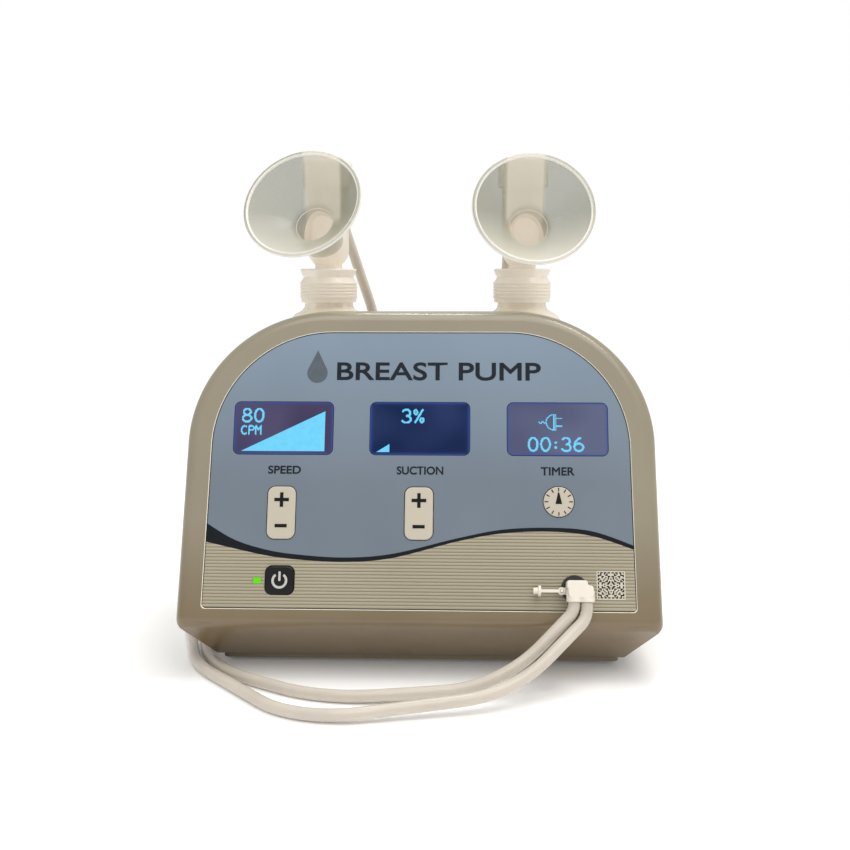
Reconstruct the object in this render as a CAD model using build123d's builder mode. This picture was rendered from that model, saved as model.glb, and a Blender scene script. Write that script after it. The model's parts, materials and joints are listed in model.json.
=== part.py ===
from build123d import *

import os
from math import acos, cos, pi, radians, sin, tan

# Double electric breast pump with two collection kits, in millimetres.
# X runs to the right of the front panel as its user sees it, Y to the back and Z up. The origin
# is on the table, under the middle of the housing's width.

# ---- driving dimensions ------------------------------------------------------------------

LEAN = radians(19)              # how far the front panel leans back from upright
FACE_FOOT_Y = -100              # lower edge of the front face
FACE_FOOT_Z = 35
FACE_HEIGHT = 190               # along the leaning face
FOOT_HALF_WIDTH = 143           # of the face at its lower edge
TOP_HALF_WIDTH = 140.3          # where the sides would reach the top of the arch
ARCH_RADIUS = 84.5
CHIN_DROP = 45                  # how far the tapering sides run on below the face
CHIN_HALF_WIDTH = 116.6
BASE_Z = 6                      # underside of the housing shells
BASE_FRONT_Y = -66
BACK_Y = 80
DECK_Z = 160                    # deck behind the arch, where the bottles stand
ARCH_BACK_Y = -2
PARTING_Y = -12                 # upright plane where the two shells meet
WALL = 3
FRONT_WALL = 5
EDGE_ROUND = 7
BACK_ROUND = 6

TOP_RIM = 12                    # width of the rim round the recessed panel
SIDE_RIM = 15.3
FOOT_RIM = 9
PANEL_DEPTH = 2
PANEL_SHEET = 1.4
PANEL_FOOT_ROUND = 2.5
GAP = 0.4

WINDOW_SIZE = (58, 31.5)
WINDOW_ROUND = 3
WINDOW_SPOTS = ((-82, 118), (0, 118), (82, 118))
KEY_SIZE = (16.8, 31.4)
KEY_ROUND = 4.5
KEY_SPOTS = {"speed_key": (-82, 66), "suction_key": (0, 66)}
KEY_PIN_DEPTH = 6.8
KEY_PIN_RADIUS = 1
KEY_FOOT_OFFSET = 11
TIMER_SPOT = (82.8, 73.5)
TIMER_RADIUS = 9
POWER_SPOT = (-81.5, 26)
POWER_SIZE = (16.8, 16.5)
POWER_ROUND = 4
LED_SPOT = (-94.9, 25.8)
LED_SIZE = (4.4, 3.7)
PORT_SPOT = (91.3, 22.5)
PORT_RING_RADIUS = 7.75
PORT_BARREL_RADIUS = 6.2
NOZZLE_RADIUS = 4.5
RUNNING = 0.05                  # radial clearance of turning and sliding fits

BOARD_DEPTH = 16
BOARD_SHEET = 1.6

TUBE_RADIUS = 3.5
TUBE_BORE = 2
SOCKET_OFFSET = 3.6             # each tube socket from the middle of the connector

KIT_Y = 28
KIT_X = {"left": -65, "right": 65}
KIT_YAW = {"left": radians(-12.5), "right": radians(5)}
WELL_FLOOR_Z = 120
WELL_RADIUS = 28
BOTTLE_RADIUS = 27
BOTTLE_WALL = 1.8
NECK_RADIUS = 16.2
NECK_TOP_Z = 232
TUNNEL_Z = 255.5                # where the flange tunnel's axis crosses the bottle's axis
TUNNEL_RISE = {"left": radians(29), "right": radians(25)}
TUNNEL_BORE = 12.5              # a standard 25 mm flange
TUNNEL_LENGTH = 29.7
CONE_REACH = 56.7
RIM_RADIUS = 38.3
HOUSING_RADIUS = 13.9           # round body above the flange neck
HOUSING_TOP_Z = 300
CAP_TOP_Z = 314
CAP_PORT_Z = 307

MODULE = 1.5
PRESSURE = radians(20)
ADDENDUM = 0.7 * MODULE
DEDENDUM = 1.25 * MODULE
BACKLASH = 0.12
FLANK_STEPS = 3
GEAR_TEETH = 36
PINION_TEETH = 12
GEAR_X = -16
RACK_PITCH_Z = 50
ROD_Y = 20
ROD_WIDTH = 8
CYLINDER_Z = 45
CYLINDER_BORE = 20

# ---- planes and small helpers ------------------------------------------------------------

FACE_NORMAL = (0, -cos(LEAN), sin(LEAN))
FACE = Plane(origin=(0, FACE_FOOT_Y, FACE_FOOT_Z), x_dir=(1, 0, 0), z_dir=FACE_NORMAL)


def face_point(across, up, out):
    """A point given by its place on the front face and its height above the face."""
    return FACE.from_local_coords(Vector(across, up, out))


def finish_piece(piece, name):
    """Label a piece and write its STEP file."""
    piece.label = name
    export_step(piece, f"parts/{name}.step")


os.makedirs("parts", exist_ok=True)

# ---- housing -----------------------------------------------------------------------------


def face_outline(inset):
    """Arched outline of the body on the leaning face; a larger inset gives a smaller outline."""
    corners = [
        (-CHIN_HALF_WIDTH, -CHIN_DROP),
        (CHIN_HALF_WIDTH, -CHIN_DROP),
        (FOOT_HALF_WIDTH, 0),
        (TOP_HALF_WIDTH, FACE_HEIGHT),
        (-TOP_HALF_WIDTH, FACE_HEIGHT),
        (-FOOT_HALF_WIDTH, 0),
    ]
    with BuildSketch() as outline:
        with BuildLine():
            Polyline(*corners, close=True)
        make_face()
        fillet(outline.vertices().group_by(Axis.Y)[-1], ARCH_RADIUS)
        if inset:
            offset(amount=-inset, kind=Kind.INTERSECTION)
    return outline.sketch


def side_profile(inset):
    """Outline of the body seen from the side, in the YZ plane."""
    top_y = FACE_FOOT_Y + FACE_HEIGHT * sin(LEAN)
    top_z = FACE_FOOT_Z + FACE_HEIGHT * cos(LEAN)
    corners = [
        (BASE_FRONT_Y, BASE_Z),
        (FACE_FOOT_Y, FACE_FOOT_Z),
        (top_y, top_z),
        (ARCH_BACK_Y, top_z),
        (ARCH_BACK_Y, DECK_Z),
        (BACK_Y, DECK_Z),
        (BACK_Y, BASE_Z),
    ]
    with BuildSketch() as profile:
        with BuildLine():
            Polyline(*corners, close=True)
        make_face()
        if inset:
            offset(amount=-inset, kind=Kind.INTERSECTION)
            floor_width = BACK_Y - BASE_FRONT_Y - 2.5 * inset
            with Locations(((BACK_Y - inset + BASE_FRONT_Y + 1.5 * inset) / 2, BASE_Z)):
                Rectangle(floor_width, 4 * inset)
    return profile.sketch


def housing_block(inset):
    """The closed outer body, or its inside when inset is the wall thickness."""
    start = Plane(
        origin=(0, FACE_FOOT_Y - 20, FACE_FOOT_Z), x_dir=(1, 0, 0), z_dir=FACE_NORMAL
    )
    with BuildPart() as block:
        with BuildSketch(start):
            add(face_outline(inset))
        extrude(amount=260, dir=(0, 1, 0))
        with BuildSketch(Plane.YZ):
            add(side_profile(inset))
        extrude(amount=160, both=True, mode=Mode.INTERSECT)
    return block.part


def panel_outline(inset):
    """Outline of the recessed panel: the face outline, narrower and with its foot brought up."""
    arch = face_outline(TOP_RIM + inset)
    narrowing = SIDE_RIM - TOP_RIM
    with BuildSketch() as outline:
        with Locations((-narrowing, 0)):
            add(arch)
        with Locations((narrowing, 0)):
            add(arch, mode=Mode.INTERSECT)
        with Locations((0, FOOT_RIM + inset - 100)):
            Rectangle(400, 200, mode=Mode.SUBTRACT)
        fillet(outline.vertices().group_by(Axis.Y)[0], PANEL_FOOT_ROUND)
    return outline.sketch


def face_openings(gap):
    """Openings for everything that comes through the panel, widened by gap all round."""
    with BuildSketch() as openings:
        for spot in KEY_SPOTS.values():
            with Locations(spot):
                RectangleRounded(KEY_SIZE[0] + 2 * gap, KEY_SIZE[1] + 2 * gap, KEY_ROUND + gap)
        with Locations(TIMER_SPOT):
            Circle(TIMER_RADIUS + gap)
        with Locations(POWER_SPOT):
            RectangleRounded(POWER_SIZE[0] + 2 * gap, POWER_SIZE[1] + 2 * gap, POWER_ROUND + gap)
        with Locations(LED_SPOT):
            Rectangle(LED_SIZE[0] + 0.1, LED_SIZE[1] + 0.1)
        with Locations(PORT_SPOT):
            Circle(PORT_BARREL_RADIUS + 0.1)
    return openings.sketch


KEY_GAP = 0.45
SHELL_SCREWS = ((-126, 34), (126, 34), (-128, 140), (128, 140))
ARCH_SCREWS = ((-45, 203), (45, 203))
BASE_SCREWS = ((-119, -44), (119, -44), (-119, 62), (119, 62))
SCREW_RADIUS = 1.5
BOSS_RADIUS = 5
BOARD_SCREWS = ((-110, 40), (110, 44), (-110, 95), (110, 95), (-41, 143), (41, 143))
LUG_WIDTH = 3

outer_block = housing_block(0)
inner_block = housing_block(WALL)

with BuildPart() as rounded_block:
    add(outer_block)
    front_face = rounded_block.faces().filter_by(FACE)[0]
    fillet(front_face.edges(), EDGE_ROUND)
    back_edges = rounded_block.faces().sort_by(Axis.Y)[-1].edges().sort_by(Axis.Z)[1:]
    deck_face = rounded_block.faces().filter_by(
        lambda f: abs(f.center().Z - DECK_Z) < 0.01
    )[0]
    deck_sides = deck_face.edges().filter_by(Axis.Y)
    fillet(back_edges + deck_sides, BACK_ROUND)

with BuildPart() as front_cavity:
    add(inner_block)
    split(bisect_by=FACE.offset(-FRONT_WALL), keep=Keep.BOTTOM)

with BuildPart() as front_bosses:
    with BuildSketch(Plane.XZ.offset(-PARTING_Y)):
        with Locations(*SHELL_SCREWS, *ARCH_SCREWS):
            Circle(BOSS_RADIUS)
    extrude(amount=90)
    with BuildSketch(Plane.XY.offset(9.6)):
        with Locations(*BASE_SCREWS[:2]):
            Circle(BOSS_RADIUS)
    extrude(amount=20)
    with BuildSketch(FACE.offset(-BOARD_DEPTH)):
        with Locations(*BOARD_SCREWS):
            Circle(3.5)
    extrude(amount=BOARD_DEPTH - 3)
    for spot in KEY_SPOTS.values():
        with BuildSketch(FACE.offset(-KEY_PIN_DEPTH - 2.4)):
            for side in (-1, 1):
                with Locations((spot[0] + side * (KEY_SIZE[0] / 2 + 3), spot[1])):
                    Rectangle(LUG_WIDTH, 6)
        extrude(amount=KEY_PIN_DEPTH - 1)
    add(housing_block(1), mode=Mode.INTERSECT)

with BuildPart() as front_housing:
    add(rounded_block.part)
    add(front_cavity.part, mode=Mode.SUBTRACT)
    add(front_bosses.part)
    split(bisect_by=Plane.XZ.offset(-PARTING_Y), keep=Keep.TOP)
    with BuildSketch(FACE.offset(-PANEL_DEPTH)):
        add(panel_outline(0))
    extrude(amount=20, mode=Mode.SUBTRACT)
    with BuildSketch(FACE.offset(-FRONT_WALL - 1)):
        add(face_openings(KEY_GAP))
        with Locations(*WINDOW_SPOTS):
            RectangleRounded(WINDOW_SIZE[0] - 2, WINDOW_SIZE[1] - 2, WINDOW_ROUND - 1)
    extrude(amount=FRONT_WALL, mode=Mode.SUBTRACT)
    with BuildSketch(Plane.XZ.offset(-PARTING_Y)):
        with Locations(*SHELL_SCREWS, *ARCH_SCREWS):
            Circle(SCREW_RADIUS)
    extrude(amount=14, mode=Mode.SUBTRACT)
    with BuildSketch(Plane.XY.offset(9)):
        with Locations(*BASE_SCREWS[:2]):
            Circle(SCREW_RADIUS)
    extrude(amount=16, mode=Mode.SUBTRACT)
    with BuildSketch(FACE.offset(-BOARD_DEPTH)):
        with Locations(*BOARD_SCREWS):
            Circle(1.2)
    extrude(amount=9, mode=Mode.SUBTRACT)
    for spot in KEY_SPOTS.values():
        with BuildSketch(Plane(face_point(spot[0], spot[1], -KEY_PIN_DEPTH), z_dir=(1, 0, 0))):
            Circle(KEY_PIN_RADIUS + 0.02)
        extrude(amount=14, both=True, mode=Mode.SUBTRACT)
finish_piece(front_housing.part, "front_housing")

with BuildPart() as rear_bosses:
    with BuildSketch(Plane.XZ.offset(-PARTING_Y)):
        with Locations(*SHELL_SCREWS, *ARCH_SCREWS):
            Circle(BOSS_RADIUS)
    extrude(amount=-120)
    with BuildSketch(Plane.XY.offset(9.6)):
        with Locations(*BASE_SCREWS[2:]):
            Circle(BOSS_RADIUS)
    extrude(amount=20)
    for x in KIT_X.values():
        with BuildSketch(Plane.XY.offset(WELL_FLOOR_Z - WALL)):
            with Locations((x, KIT_Y)):
                Circle(WELL_RADIUS + WALL)
        extrude(amount=DECK_Z - WELL_FLOOR_Z)
    with BuildSketch(Plane.XZ.offset(-49)):
        with Locations((0, 116)):
            Rectangle(82, 38)
    extrude(amount=-40)
    add(housing_block(1), mode=Mode.INTERSECT)

with BuildPart() as rear_housing:
    add(rounded_block.part)
    add(inner_block, mode=Mode.SUBTRACT)
    add(rear_bosses.part)
    split(bisect_by=Plane.XZ.offset(-PARTING_Y), keep=Keep.BOTTOM)
    with BuildSketch(Plane.XY.offset(WELL_FLOOR_Z)):
        with Locations(*[(x, KIT_Y) for x in KIT_X.values()]):
            Circle(WELL_RADIUS)
    extrude(amount=60, mode=Mode.SUBTRACT)
    with BuildSketch(Plane.XZ.offset(-BACK_Y)):
        with Locations((0, 116)):
            RectangleRounded(76, 32, 8)
    extrude(amount=28, mode=Mode.SUBTRACT)
    with BuildSketch(Plane.XZ.offset(-BACK_Y)):
        with Locations(*SHELL_SCREWS):
            Circle(3.6)
    extrude(amount=80, mode=Mode.SUBTRACT)
    with BuildSketch(Plane.XZ.offset(-ARCH_BACK_Y)):
        with Locations(*ARCH_SCREWS):
            Circle(3.6)
    extrude(amount=4, mode=Mode.SUBTRACT)
    with BuildSketch(Plane.XZ.offset(-BACK_Y)):
        with Locations(*SHELL_SCREWS, *ARCH_SCREWS):
            Circle(SCREW_RADIUS + 0.2)
        with Locations((95, 60)):
            Rectangle(27.6, 20.6)
        with Locations((-95, 60)):
            with GridLocations(0, 5, 1, 7):
                SlotOverall(34, 2)
    extrude(amount=100, mode=Mode.SUBTRACT)
    with BuildSketch(Plane.XY.offset(9)):
        with Locations(*BASE_SCREWS[2:]):
            Circle(SCREW_RADIUS)
    extrude(amount=16, mode=Mode.SUBTRACT)
    arch_rim = rear_housing.edges().filter_by(
        lambda e: abs(e.center().Y - ARCH_BACK_Y) < 0.01 and e.center().Z > DECK_Z + 15
    ).filter_by(lambda e: e.length > 30)
    fillet(arch_rim, 4)
finish_piece(rear_housing.part, "rear_housing")

# ---- base, feet and housing screws -------------------------------------------------------

FOOT_SPOTS = ((-100, -48), (100, -48), (-100, 62), (100, 62))
FOOT_RADIUS = 9
FOOT_HEIGHT = 4.5
PLATE_BOTTOM_Z = 2.5
PLATE_TOP_Z = 9.5
BRACKET_SCREWS = ((-60, -3), (-60, 43), (60, -14), (60, 54))

with BuildPart() as base_plate:
    with BuildSketch(Plane.XY.offset(PLATE_BOTTOM_Z)):
        with Locations((0, 7)):
            RectangleRounded(244, 141, 4)
    extrude(amount=BASE_Z - PLATE_BOTTOM_Z)
    with BuildSketch(Plane.XY.offset(BASE_Z)):
        with Locations((0, 7.8)):
            Rectangle(243, 136)
    extrude(amount=PLATE_TOP_Z - BASE_Z)
    with BuildSketch(Plane.XY.offset(PLATE_BOTTOM_Z)):
        with Locations(*FOOT_SPOTS):
            Circle(FOOT_RADIUS + 0.05)
    extrude(amount=FOOT_HEIGHT - PLATE_BOTTOM_Z, mode=Mode.SUBTRACT)
    with BuildSketch(Plane.XY.offset(PLATE_BOTTOM_Z)):
        with Locations(*BASE_SCREWS):
            Circle(3.2)
    extrude(amount=3, mode=Mode.SUBTRACT)
    with BuildSketch(Plane.XY.offset(PLATE_BOTTOM_Z)):
        with Locations(*BASE_SCREWS):
            Circle(SCREW_RADIUS + 0.2)
    extrude(amount=10, mode=Mode.SUBTRACT)
    with BuildSketch(Plane.XY.offset(PLATE_TOP_Z)):
        with Locations(*BRACKET_SCREWS):
            Circle(SCREW_RADIUS)
    extrude(amount=-6, mode=Mode.SUBTRACT)
finish_piece(base_plate.part, "base_plate")

with BuildPart() as rubber_feet:
    with BuildSketch(Plane.XY):
        with Locations(*FOOT_SPOTS):
            Circle(FOOT_RADIUS)
    extrude(amount=FOOT_HEIGHT)
    rims = rubber_feet.edges().group_by(Axis.Z)[0]
    chamfer(rims, 0.8)
finish_piece(rubber_feet.part, "rubber_feet")


def screws(head_plane, spots, head_radius, head_height, length, shank_radius):
    """Pan-head screws whose heads stand on head_plane and whose shanks run back from it."""
    with BuildPart() as group:
        with BuildSketch(head_plane):
            with Locations(*spots):
                Circle(head_radius)
        extrude(amount=head_height)
        with BuildSketch(head_plane.offset(head_height)):
            with Locations(*spots):
                Rectangle(2.4, 0.6)
                Rectangle(0.6, 2.4)
        extrude(amount=-head_height / 2, mode=Mode.SUBTRACT)
        with BuildSketch(head_plane):
            with Locations(*spots):
                Circle(shank_radius)
        extrude(amount=-length)
    return group.part


THREAD_GAP = 0.03
under = Plane(origin=(0, 0, PLATE_BOTTOM_Z + 3), x_dir=(1, 0, 0), z_dir=(0, 0, -1))
under_spots = [(x, -y) for x, y in BASE_SCREWS]
finish_piece(screws(under, under_spots, 2.8, 2.2, 17, SCREW_RADIUS - THREAD_GAP), "base_screws")


def from_back(depth_y):
    """Plane facing the back at the given Y, with its own X pointing the other way round."""
    return Plane(origin=(0, depth_y, 0), x_dir=(-1, 0, 0), z_dir=(0, 1, 0))


with BuildPart() as housing_screws:
    side_spots = [(-x, z) for x, z in SHELL_SCREWS]
    arch_spots = [(-x, z) for x, z in ARCH_SCREWS]
    shank = SCREW_RADIUS - THREAD_GAP
    add(screws(from_back(0), side_spots, 2.8, 2.2, 22, shank))
    add(screws(from_back(ARCH_BACK_Y - 4), arch_spots, 2.8, 2.2, 16, shank))
finish_piece(housing_screws.part, "housing_screws")

# ---- panel, windows and displays ---------------------------------------------------------

with BuildPart() as panel_overlay:
    with BuildSketch(FACE.offset(-PANEL_DEPTH)):
        add(panel_outline(GAP))
        add(face_openings(KEY_GAP), mode=Mode.SUBTRACT)
        with Locations(*WINDOW_SPOTS):
            RectangleRounded(*WINDOW_SIZE, WINDOW_ROUND, mode=Mode.SUBTRACT)
    extrude(amount=PANEL_SHEET)
finish_piece(panel_overlay.part, "panel_overlay")

with BuildPart() as display_windows:
    with BuildSketch(FACE.offset(-PANEL_DEPTH)):
        with Locations(*WINDOW_SPOTS):
            RectangleRounded(WINDOW_SIZE[0] - 0.1, WINDOW_SIZE[1] - 0.1, WINDOW_ROUND)
    extrude(amount=PANEL_SHEET - 0.1)
finish_piece(display_windows.part, "display_windows")


def display_module(spot):
    """Backlit display: raised glass, frame and the pin header that stands on the board."""
    with BuildPart() as module:
        with BuildSketch(FACE.offset(-FRONT_WALL - 5)):
            with Locations(spot):
                Rectangle(WINDOW_SIZE[0] + 4, WINDOW_SIZE[1] + 5)
        extrude(amount=4.9)
        with BuildSketch(FACE.offset(-FRONT_WALL - 1)):
            with Locations(spot):
                RectangleRounded(WINDOW_SIZE[0] - 2.4, WINDOW_SIZE[1] - 2.4, WINDOW_ROUND - 1)
        extrude(amount=FRONT_WALL - 1.3)
        with BuildSketch(FACE.offset(-BOARD_DEPTH)):
            with Locations((spot[0], spot[1] + 16)):
                Rectangle(40, 2.5)
        extrude(amount=BOARD_DEPTH - FRONT_WALL - 4)
    return module.part


DISPLAYS = ("speed_display", "suction_display", "timer_display")
for name, spot in zip(DISPLAYS, WINDOW_SPOTS):
    finish_piece(display_module(spot), name)

# ---- keys and buttons --------------------------------------------------------------------

KEY_TOP = 0.0
KEY_PLATE = 4.6


def rocker_key(spot):
    """Two-way key: rounded plate, web with the pin hole, and a foot over each switch."""
    with BuildPart() as key:
        with BuildSketch(FACE.offset(-KEY_PLATE)):
            with Locations(spot):
                RectangleRounded(*KEY_SIZE, KEY_ROUND)
        extrude(amount=KEY_PLATE + KEY_TOP)
        fillet(key.faces().filter_by(FACE).sort_by(Axis.Y)[0].edges(), 0.7)
        with BuildSketch(FACE.offset(-KEY_PIN_DEPTH - 2.2)):
            with Locations(spot):
                Rectangle(KEY_SIZE[0], 5)
        extrude(amount=KEY_PIN_DEPTH + 2.2 - KEY_PLATE)
        with BuildSketch(FACE.offset(-KEY_PLATE)):
            for side in (-1, 1):
                with Locations((spot[0], spot[1] + side * KEY_FOOT_OFFSET)):
                    Circle(2.5)
        extrude(amount=-3.4)
        with BuildSketch(Plane(face_point(spot[0], spot[1], -KEY_PIN_DEPTH), z_dir=(1, 0, 0))):
            Circle(KEY_PIN_RADIUS + RUNNING)
        extrude(amount=20, both=True, mode=Mode.SUBTRACT)
    return key.part


def key_pin(spot):
    """Steel pin that carries a rocker key between two lugs of the front shell."""
    with BuildPart() as pin:
        with BuildSketch(Plane(face_point(spot[0], spot[1], -KEY_PIN_DEPTH), z_dir=(1, 0, 0))):
            Circle(KEY_PIN_RADIUS)
        extrude(amount=KEY_SIZE[0] / 2 + 4.5, both=True)
    return pin.part


for name, spot in KEY_SPOTS.items():
    finish_piece(rocker_key(spot), name)
    finish_piece(key_pin(spot), name + "_pin")

with BuildPart() as timer_button:
    with BuildSketch(FACE.offset(-FRONT_WALL - 1.4)):
        with Locations(TIMER_SPOT):
            Circle(TIMER_RADIUS + 1.4)
    extrude(amount=1.2)
    with BuildSketch(FACE.offset(-FRONT_WALL - 1.4)):
        with Locations(TIMER_SPOT):
            Circle(TIMER_RADIUS)
    extrude(amount=FRONT_WALL + 1.5)
    fillet(timer_button.faces().filter_by(FACE).sort_by(Axis.Y)[0].edges(), 0.7)
    with BuildSketch(FACE.offset(-8)):
        with Locations(TIMER_SPOT):
            Circle(2.5)
    extrude(amount=2)
finish_piece(timer_button.part, "timer_button")

with BuildPart() as power_button:
    with BuildSketch(FACE.offset(-FRONT_WALL - 1.4)):
        with Locations(POWER_SPOT):
            RectangleRounded(POWER_SIZE[0] + 3, POWER_SIZE[1] + 3, POWER_ROUND)
    extrude(amount=1.2)
    with BuildSketch(FACE.offset(-FRONT_WALL - 1.4)):
        with Locations(POWER_SPOT):
            RectangleRounded(*POWER_SIZE, POWER_ROUND)
    extrude(amount=FRONT_WALL + 1.8)
    fillet(power_button.faces().filter_by(FACE).sort_by(Axis.Y)[0].edges(), 0.9)
    with BuildSketch(FACE.offset(-8)):
        with Locations(POWER_SPOT):
            Circle(2.5)
    extrude(amount=2)
finish_piece(power_button.part, "power_button")

with BuildPart() as power_led:
    with BuildSketch(FACE.offset(-BOARD_DEPTH)):
        with Locations(LED_SPOT):
            Rectangle(*LED_SIZE)
    extrude(amount=BOARD_DEPTH - 0.4)
finish_piece(power_led.part, "power_led")

# ---- main board --------------------------------------------------------------------------

BOARD_FOOT = 13
BOARD_TOP = 148
BOARD_HALF_WIDTH = 116
SWITCH_SPOTS = [
    (spot[0], spot[1] + side * KEY_FOOT_OFFSET) for spot in KEY_SPOTS.values() for side in (-1, 1)
]
SWITCH_TRAVEL = {"key": 0.6, "timer": 0.9, "power": 1.1}

with BuildPart() as main_board:
    with BuildSketch(FACE.offset(-BOARD_DEPTH)):
        with Locations((0, (BOARD_FOOT + BOARD_TOP) / 2)):
            Rectangle(2 * BOARD_HALF_WIDTH, BOARD_TOP - BOARD_FOOT)
        for side in (-1, 1):
            with Locations((side * BOARD_HALF_WIDTH, BOARD_TOP)):
                Rectangle(44, 44, rotation=45, mode=Mode.SUBTRACT)
        with Locations(PORT_SPOT):
            Circle(PORT_BARREL_RADIUS + 1.5, mode=Mode.SUBTRACT)
        with Locations(*BOARD_SCREWS):
            Circle(1.4, mode=Mode.SUBTRACT)
    extrude(amount=-BOARD_SHEET)
    with BuildSketch(FACE.offset(-BOARD_DEPTH - BOARD_SHEET)):
        with Locations((-30, 84), (36, 60)):
            Rectangle(16, 16)
        with Locations((70, 100), (-70, 70)):
            Rectangle(10, 22)
    extrude(amount=-2.2)
finish_piece(main_board.part, "main_board")

with BuildPart() as tact_switches:
    with BuildSketch(FACE.offset(-BOARD_DEPTH)):
        with Locations(*SWITCH_SPOTS, TIMER_SPOT, POWER_SPOT):
            Rectangle(6, 6)
    extrude(amount=4)
    with BuildSketch(FACE.offset(-BOARD_DEPTH)):
        with Locations(*SWITCH_SPOTS):
            Circle(1.5)
    extrude(amount=BOARD_DEPTH - 8 - SWITCH_TRAVEL["key"])
    with BuildSketch(FACE.offset(-BOARD_DEPTH)):
        with Locations(TIMER_SPOT):
            Circle(1.5)
    extrude(amount=BOARD_DEPTH - 8 - SWITCH_TRAVEL["timer"])
    with BuildSketch(FACE.offset(-BOARD_DEPTH)):
        with Locations(POWER_SPOT):
            Circle(1.5)
    extrude(amount=BOARD_DEPTH - 8 - SWITCH_TRAVEL["power"])
finish_piece(tact_switches.part, "tact_switches")

behind_board = Plane(
    origin=face_point(0, 0, -BOARD_DEPTH - BOARD_SHEET),
    x_dir=(-1, 0, 0),
    z_dir=(0, cos(LEAN), -sin(LEAN)),
)
board_spots = [(-across, up) for across, up in BOARD_SCREWS]
finish_piece(screws(behind_board, board_spots, 2.4, 1.8, 9, 1.17), "board_screws")

with BuildPart() as pressure_sensor:
    with BuildSketch(FACE.offset(-BOARD_DEPTH - BOARD_SHEET)):
        with Locations((60, 30)):
            Rectangle(11, 11)
    extrude(amount=-5)
    with BuildSketch(FACE.offset(-BOARD_DEPTH - BOARD_SHEET - 5)):
        with Locations((60, 30)):
            Circle(2)
            Circle(0.8, mode=Mode.SUBTRACT)
    extrude(amount=-7)
finish_piece(pressure_sensor.part, "pressure_sensor")

# ---- vacuum port and tubing connector ----------------------------------------------------

PORT_TAIL_DEPTH = 34
PORT_LIP = 0.9

with BuildPart() as vacuum_port:
    with BuildSketch(FACE.offset(-PANEL_DEPTH + PANEL_SHEET)):
        with Locations(PORT_SPOT):
            Circle(PORT_RING_RADIUS)
    extrude(amount=PORT_LIP)
    with BuildSketch(FACE.offset(-22)):
        with Locations(PORT_SPOT):
            Circle(PORT_BARREL_RADIUS)
    extrude(amount=21.5)
    with BuildSketch(FACE.offset(-PORT_TAIL_DEPTH)):
        with Locations(PORT_SPOT):
            Circle(3)
    extrude(amount=14)
    with BuildSketch(FACE.offset(1)):
        with Locations(PORT_SPOT):
            Circle(NOZZLE_RADIUS + RUNNING)
    extrude(amount=-14, mode=Mode.SUBTRACT)
    with BuildSketch(FACE.offset(1)):
        with Locations(PORT_SPOT):
            Circle(1.5)
    extrude(amount=-40, mode=Mode.SUBTRACT)
finish_piece(vacuum_port.part, "vacuum_port")

with BuildPart() as port_nut:
    with BuildSketch(FACE.offset(-FRONT_WALL)):
        with Locations(PORT_SPOT):
            RegularPolygon(10, 6)
            Circle(PORT_BARREL_RADIUS + 0.02, mode=Mode.SUBTRACT)
    extrude(amount=-4)
finish_piece(port_nut.part, "port_nut")

CONNECTOR_MIDDLE = (94, 20.5)
SOCKET_FOOT = 14.5
SOCKET_OUT = 6.5
SOCKET_RADIUS = 4.6
PLUG_PIVOT = (83.5, 21)
PLUG_PIVOT_RADIUS = 1.1
sockets_plane = Plane(
    origin=face_point(0, SOCKET_FOOT, 0),
    x_dir=(1, 0, 0),
    z_dir=(0, sin(LEAN), cos(LEAN)),
)
SOCKET_SPOTS = [
    (CONNECTOR_MIDDLE[0] + side * SOCKET_OFFSET, -SOCKET_OUT) for side in (-1, 1)
]

with BuildPart() as tubing_connector:
    with BuildSketch(FACE.offset(-11)):
        with Locations(PORT_SPOT):
            Circle(NOZZLE_RADIUS)
    extrude(amount=13)
    with BuildSketch(FACE.offset(1.2)):
        with Locations((92, 24.6)):
            RectangleRounded(12, 4.6, 1.2)
        with Locations((94, 20.6)):
            RectangleRounded(14.6, 7, 2)
    extrude(amount=9.8)
    with BuildSketch(sockets_plane):
        with Locations(*SOCKET_SPOTS):
            Circle(SOCKET_RADIUS)
    extrude(amount=7)
    with BuildSketch(FACE.offset(1.2)):
        with Locations(PLUG_PIVOT):
            Circle(2.2)
        with Locations((PLUG_PIVOT[0] + 2.5, PLUG_PIVOT[1])):
            Rectangle(5, 4)
    extrude(amount=1.6)
    with BuildSketch(FACE.offset(1.2)):
        with Locations(PLUG_PIVOT):
            Circle(PLUG_PIVOT_RADIUS)
    extrude(amount=5.2)
    with BuildSketch(sockets_plane):
        with Locations(*SOCKET_SPOTS):
            Circle(TUBE_RADIUS + RUNNING)
    extrude(amount=5, mode=Mode.SUBTRACT)
    with BuildSketch(sockets_plane):
        with Locations(*SOCKET_SPOTS):
            Circle(1.5)
    extrude(amount=8, mode=Mode.SUBTRACT)
    with BuildSketch(FACE.offset(-12)):
        with Locations(PORT_SPOT):
            Circle(2)
    extrude(amount=18.5, mode=Mode.SUBTRACT)
    with BuildSketch(Plane(face_point(90.4, 21.5, SOCKET_OUT), z_dir=(1, 0, 0))):
        Circle(1.5)
    extrude(amount=7.2, mode=Mode.SUBTRACT)
finish_piece(tubing_connector.part, "tubing_connector")

STRAP_LENGTH = 12
STRAP_OUT = 3.9                 # middle of the strap above the face

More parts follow.
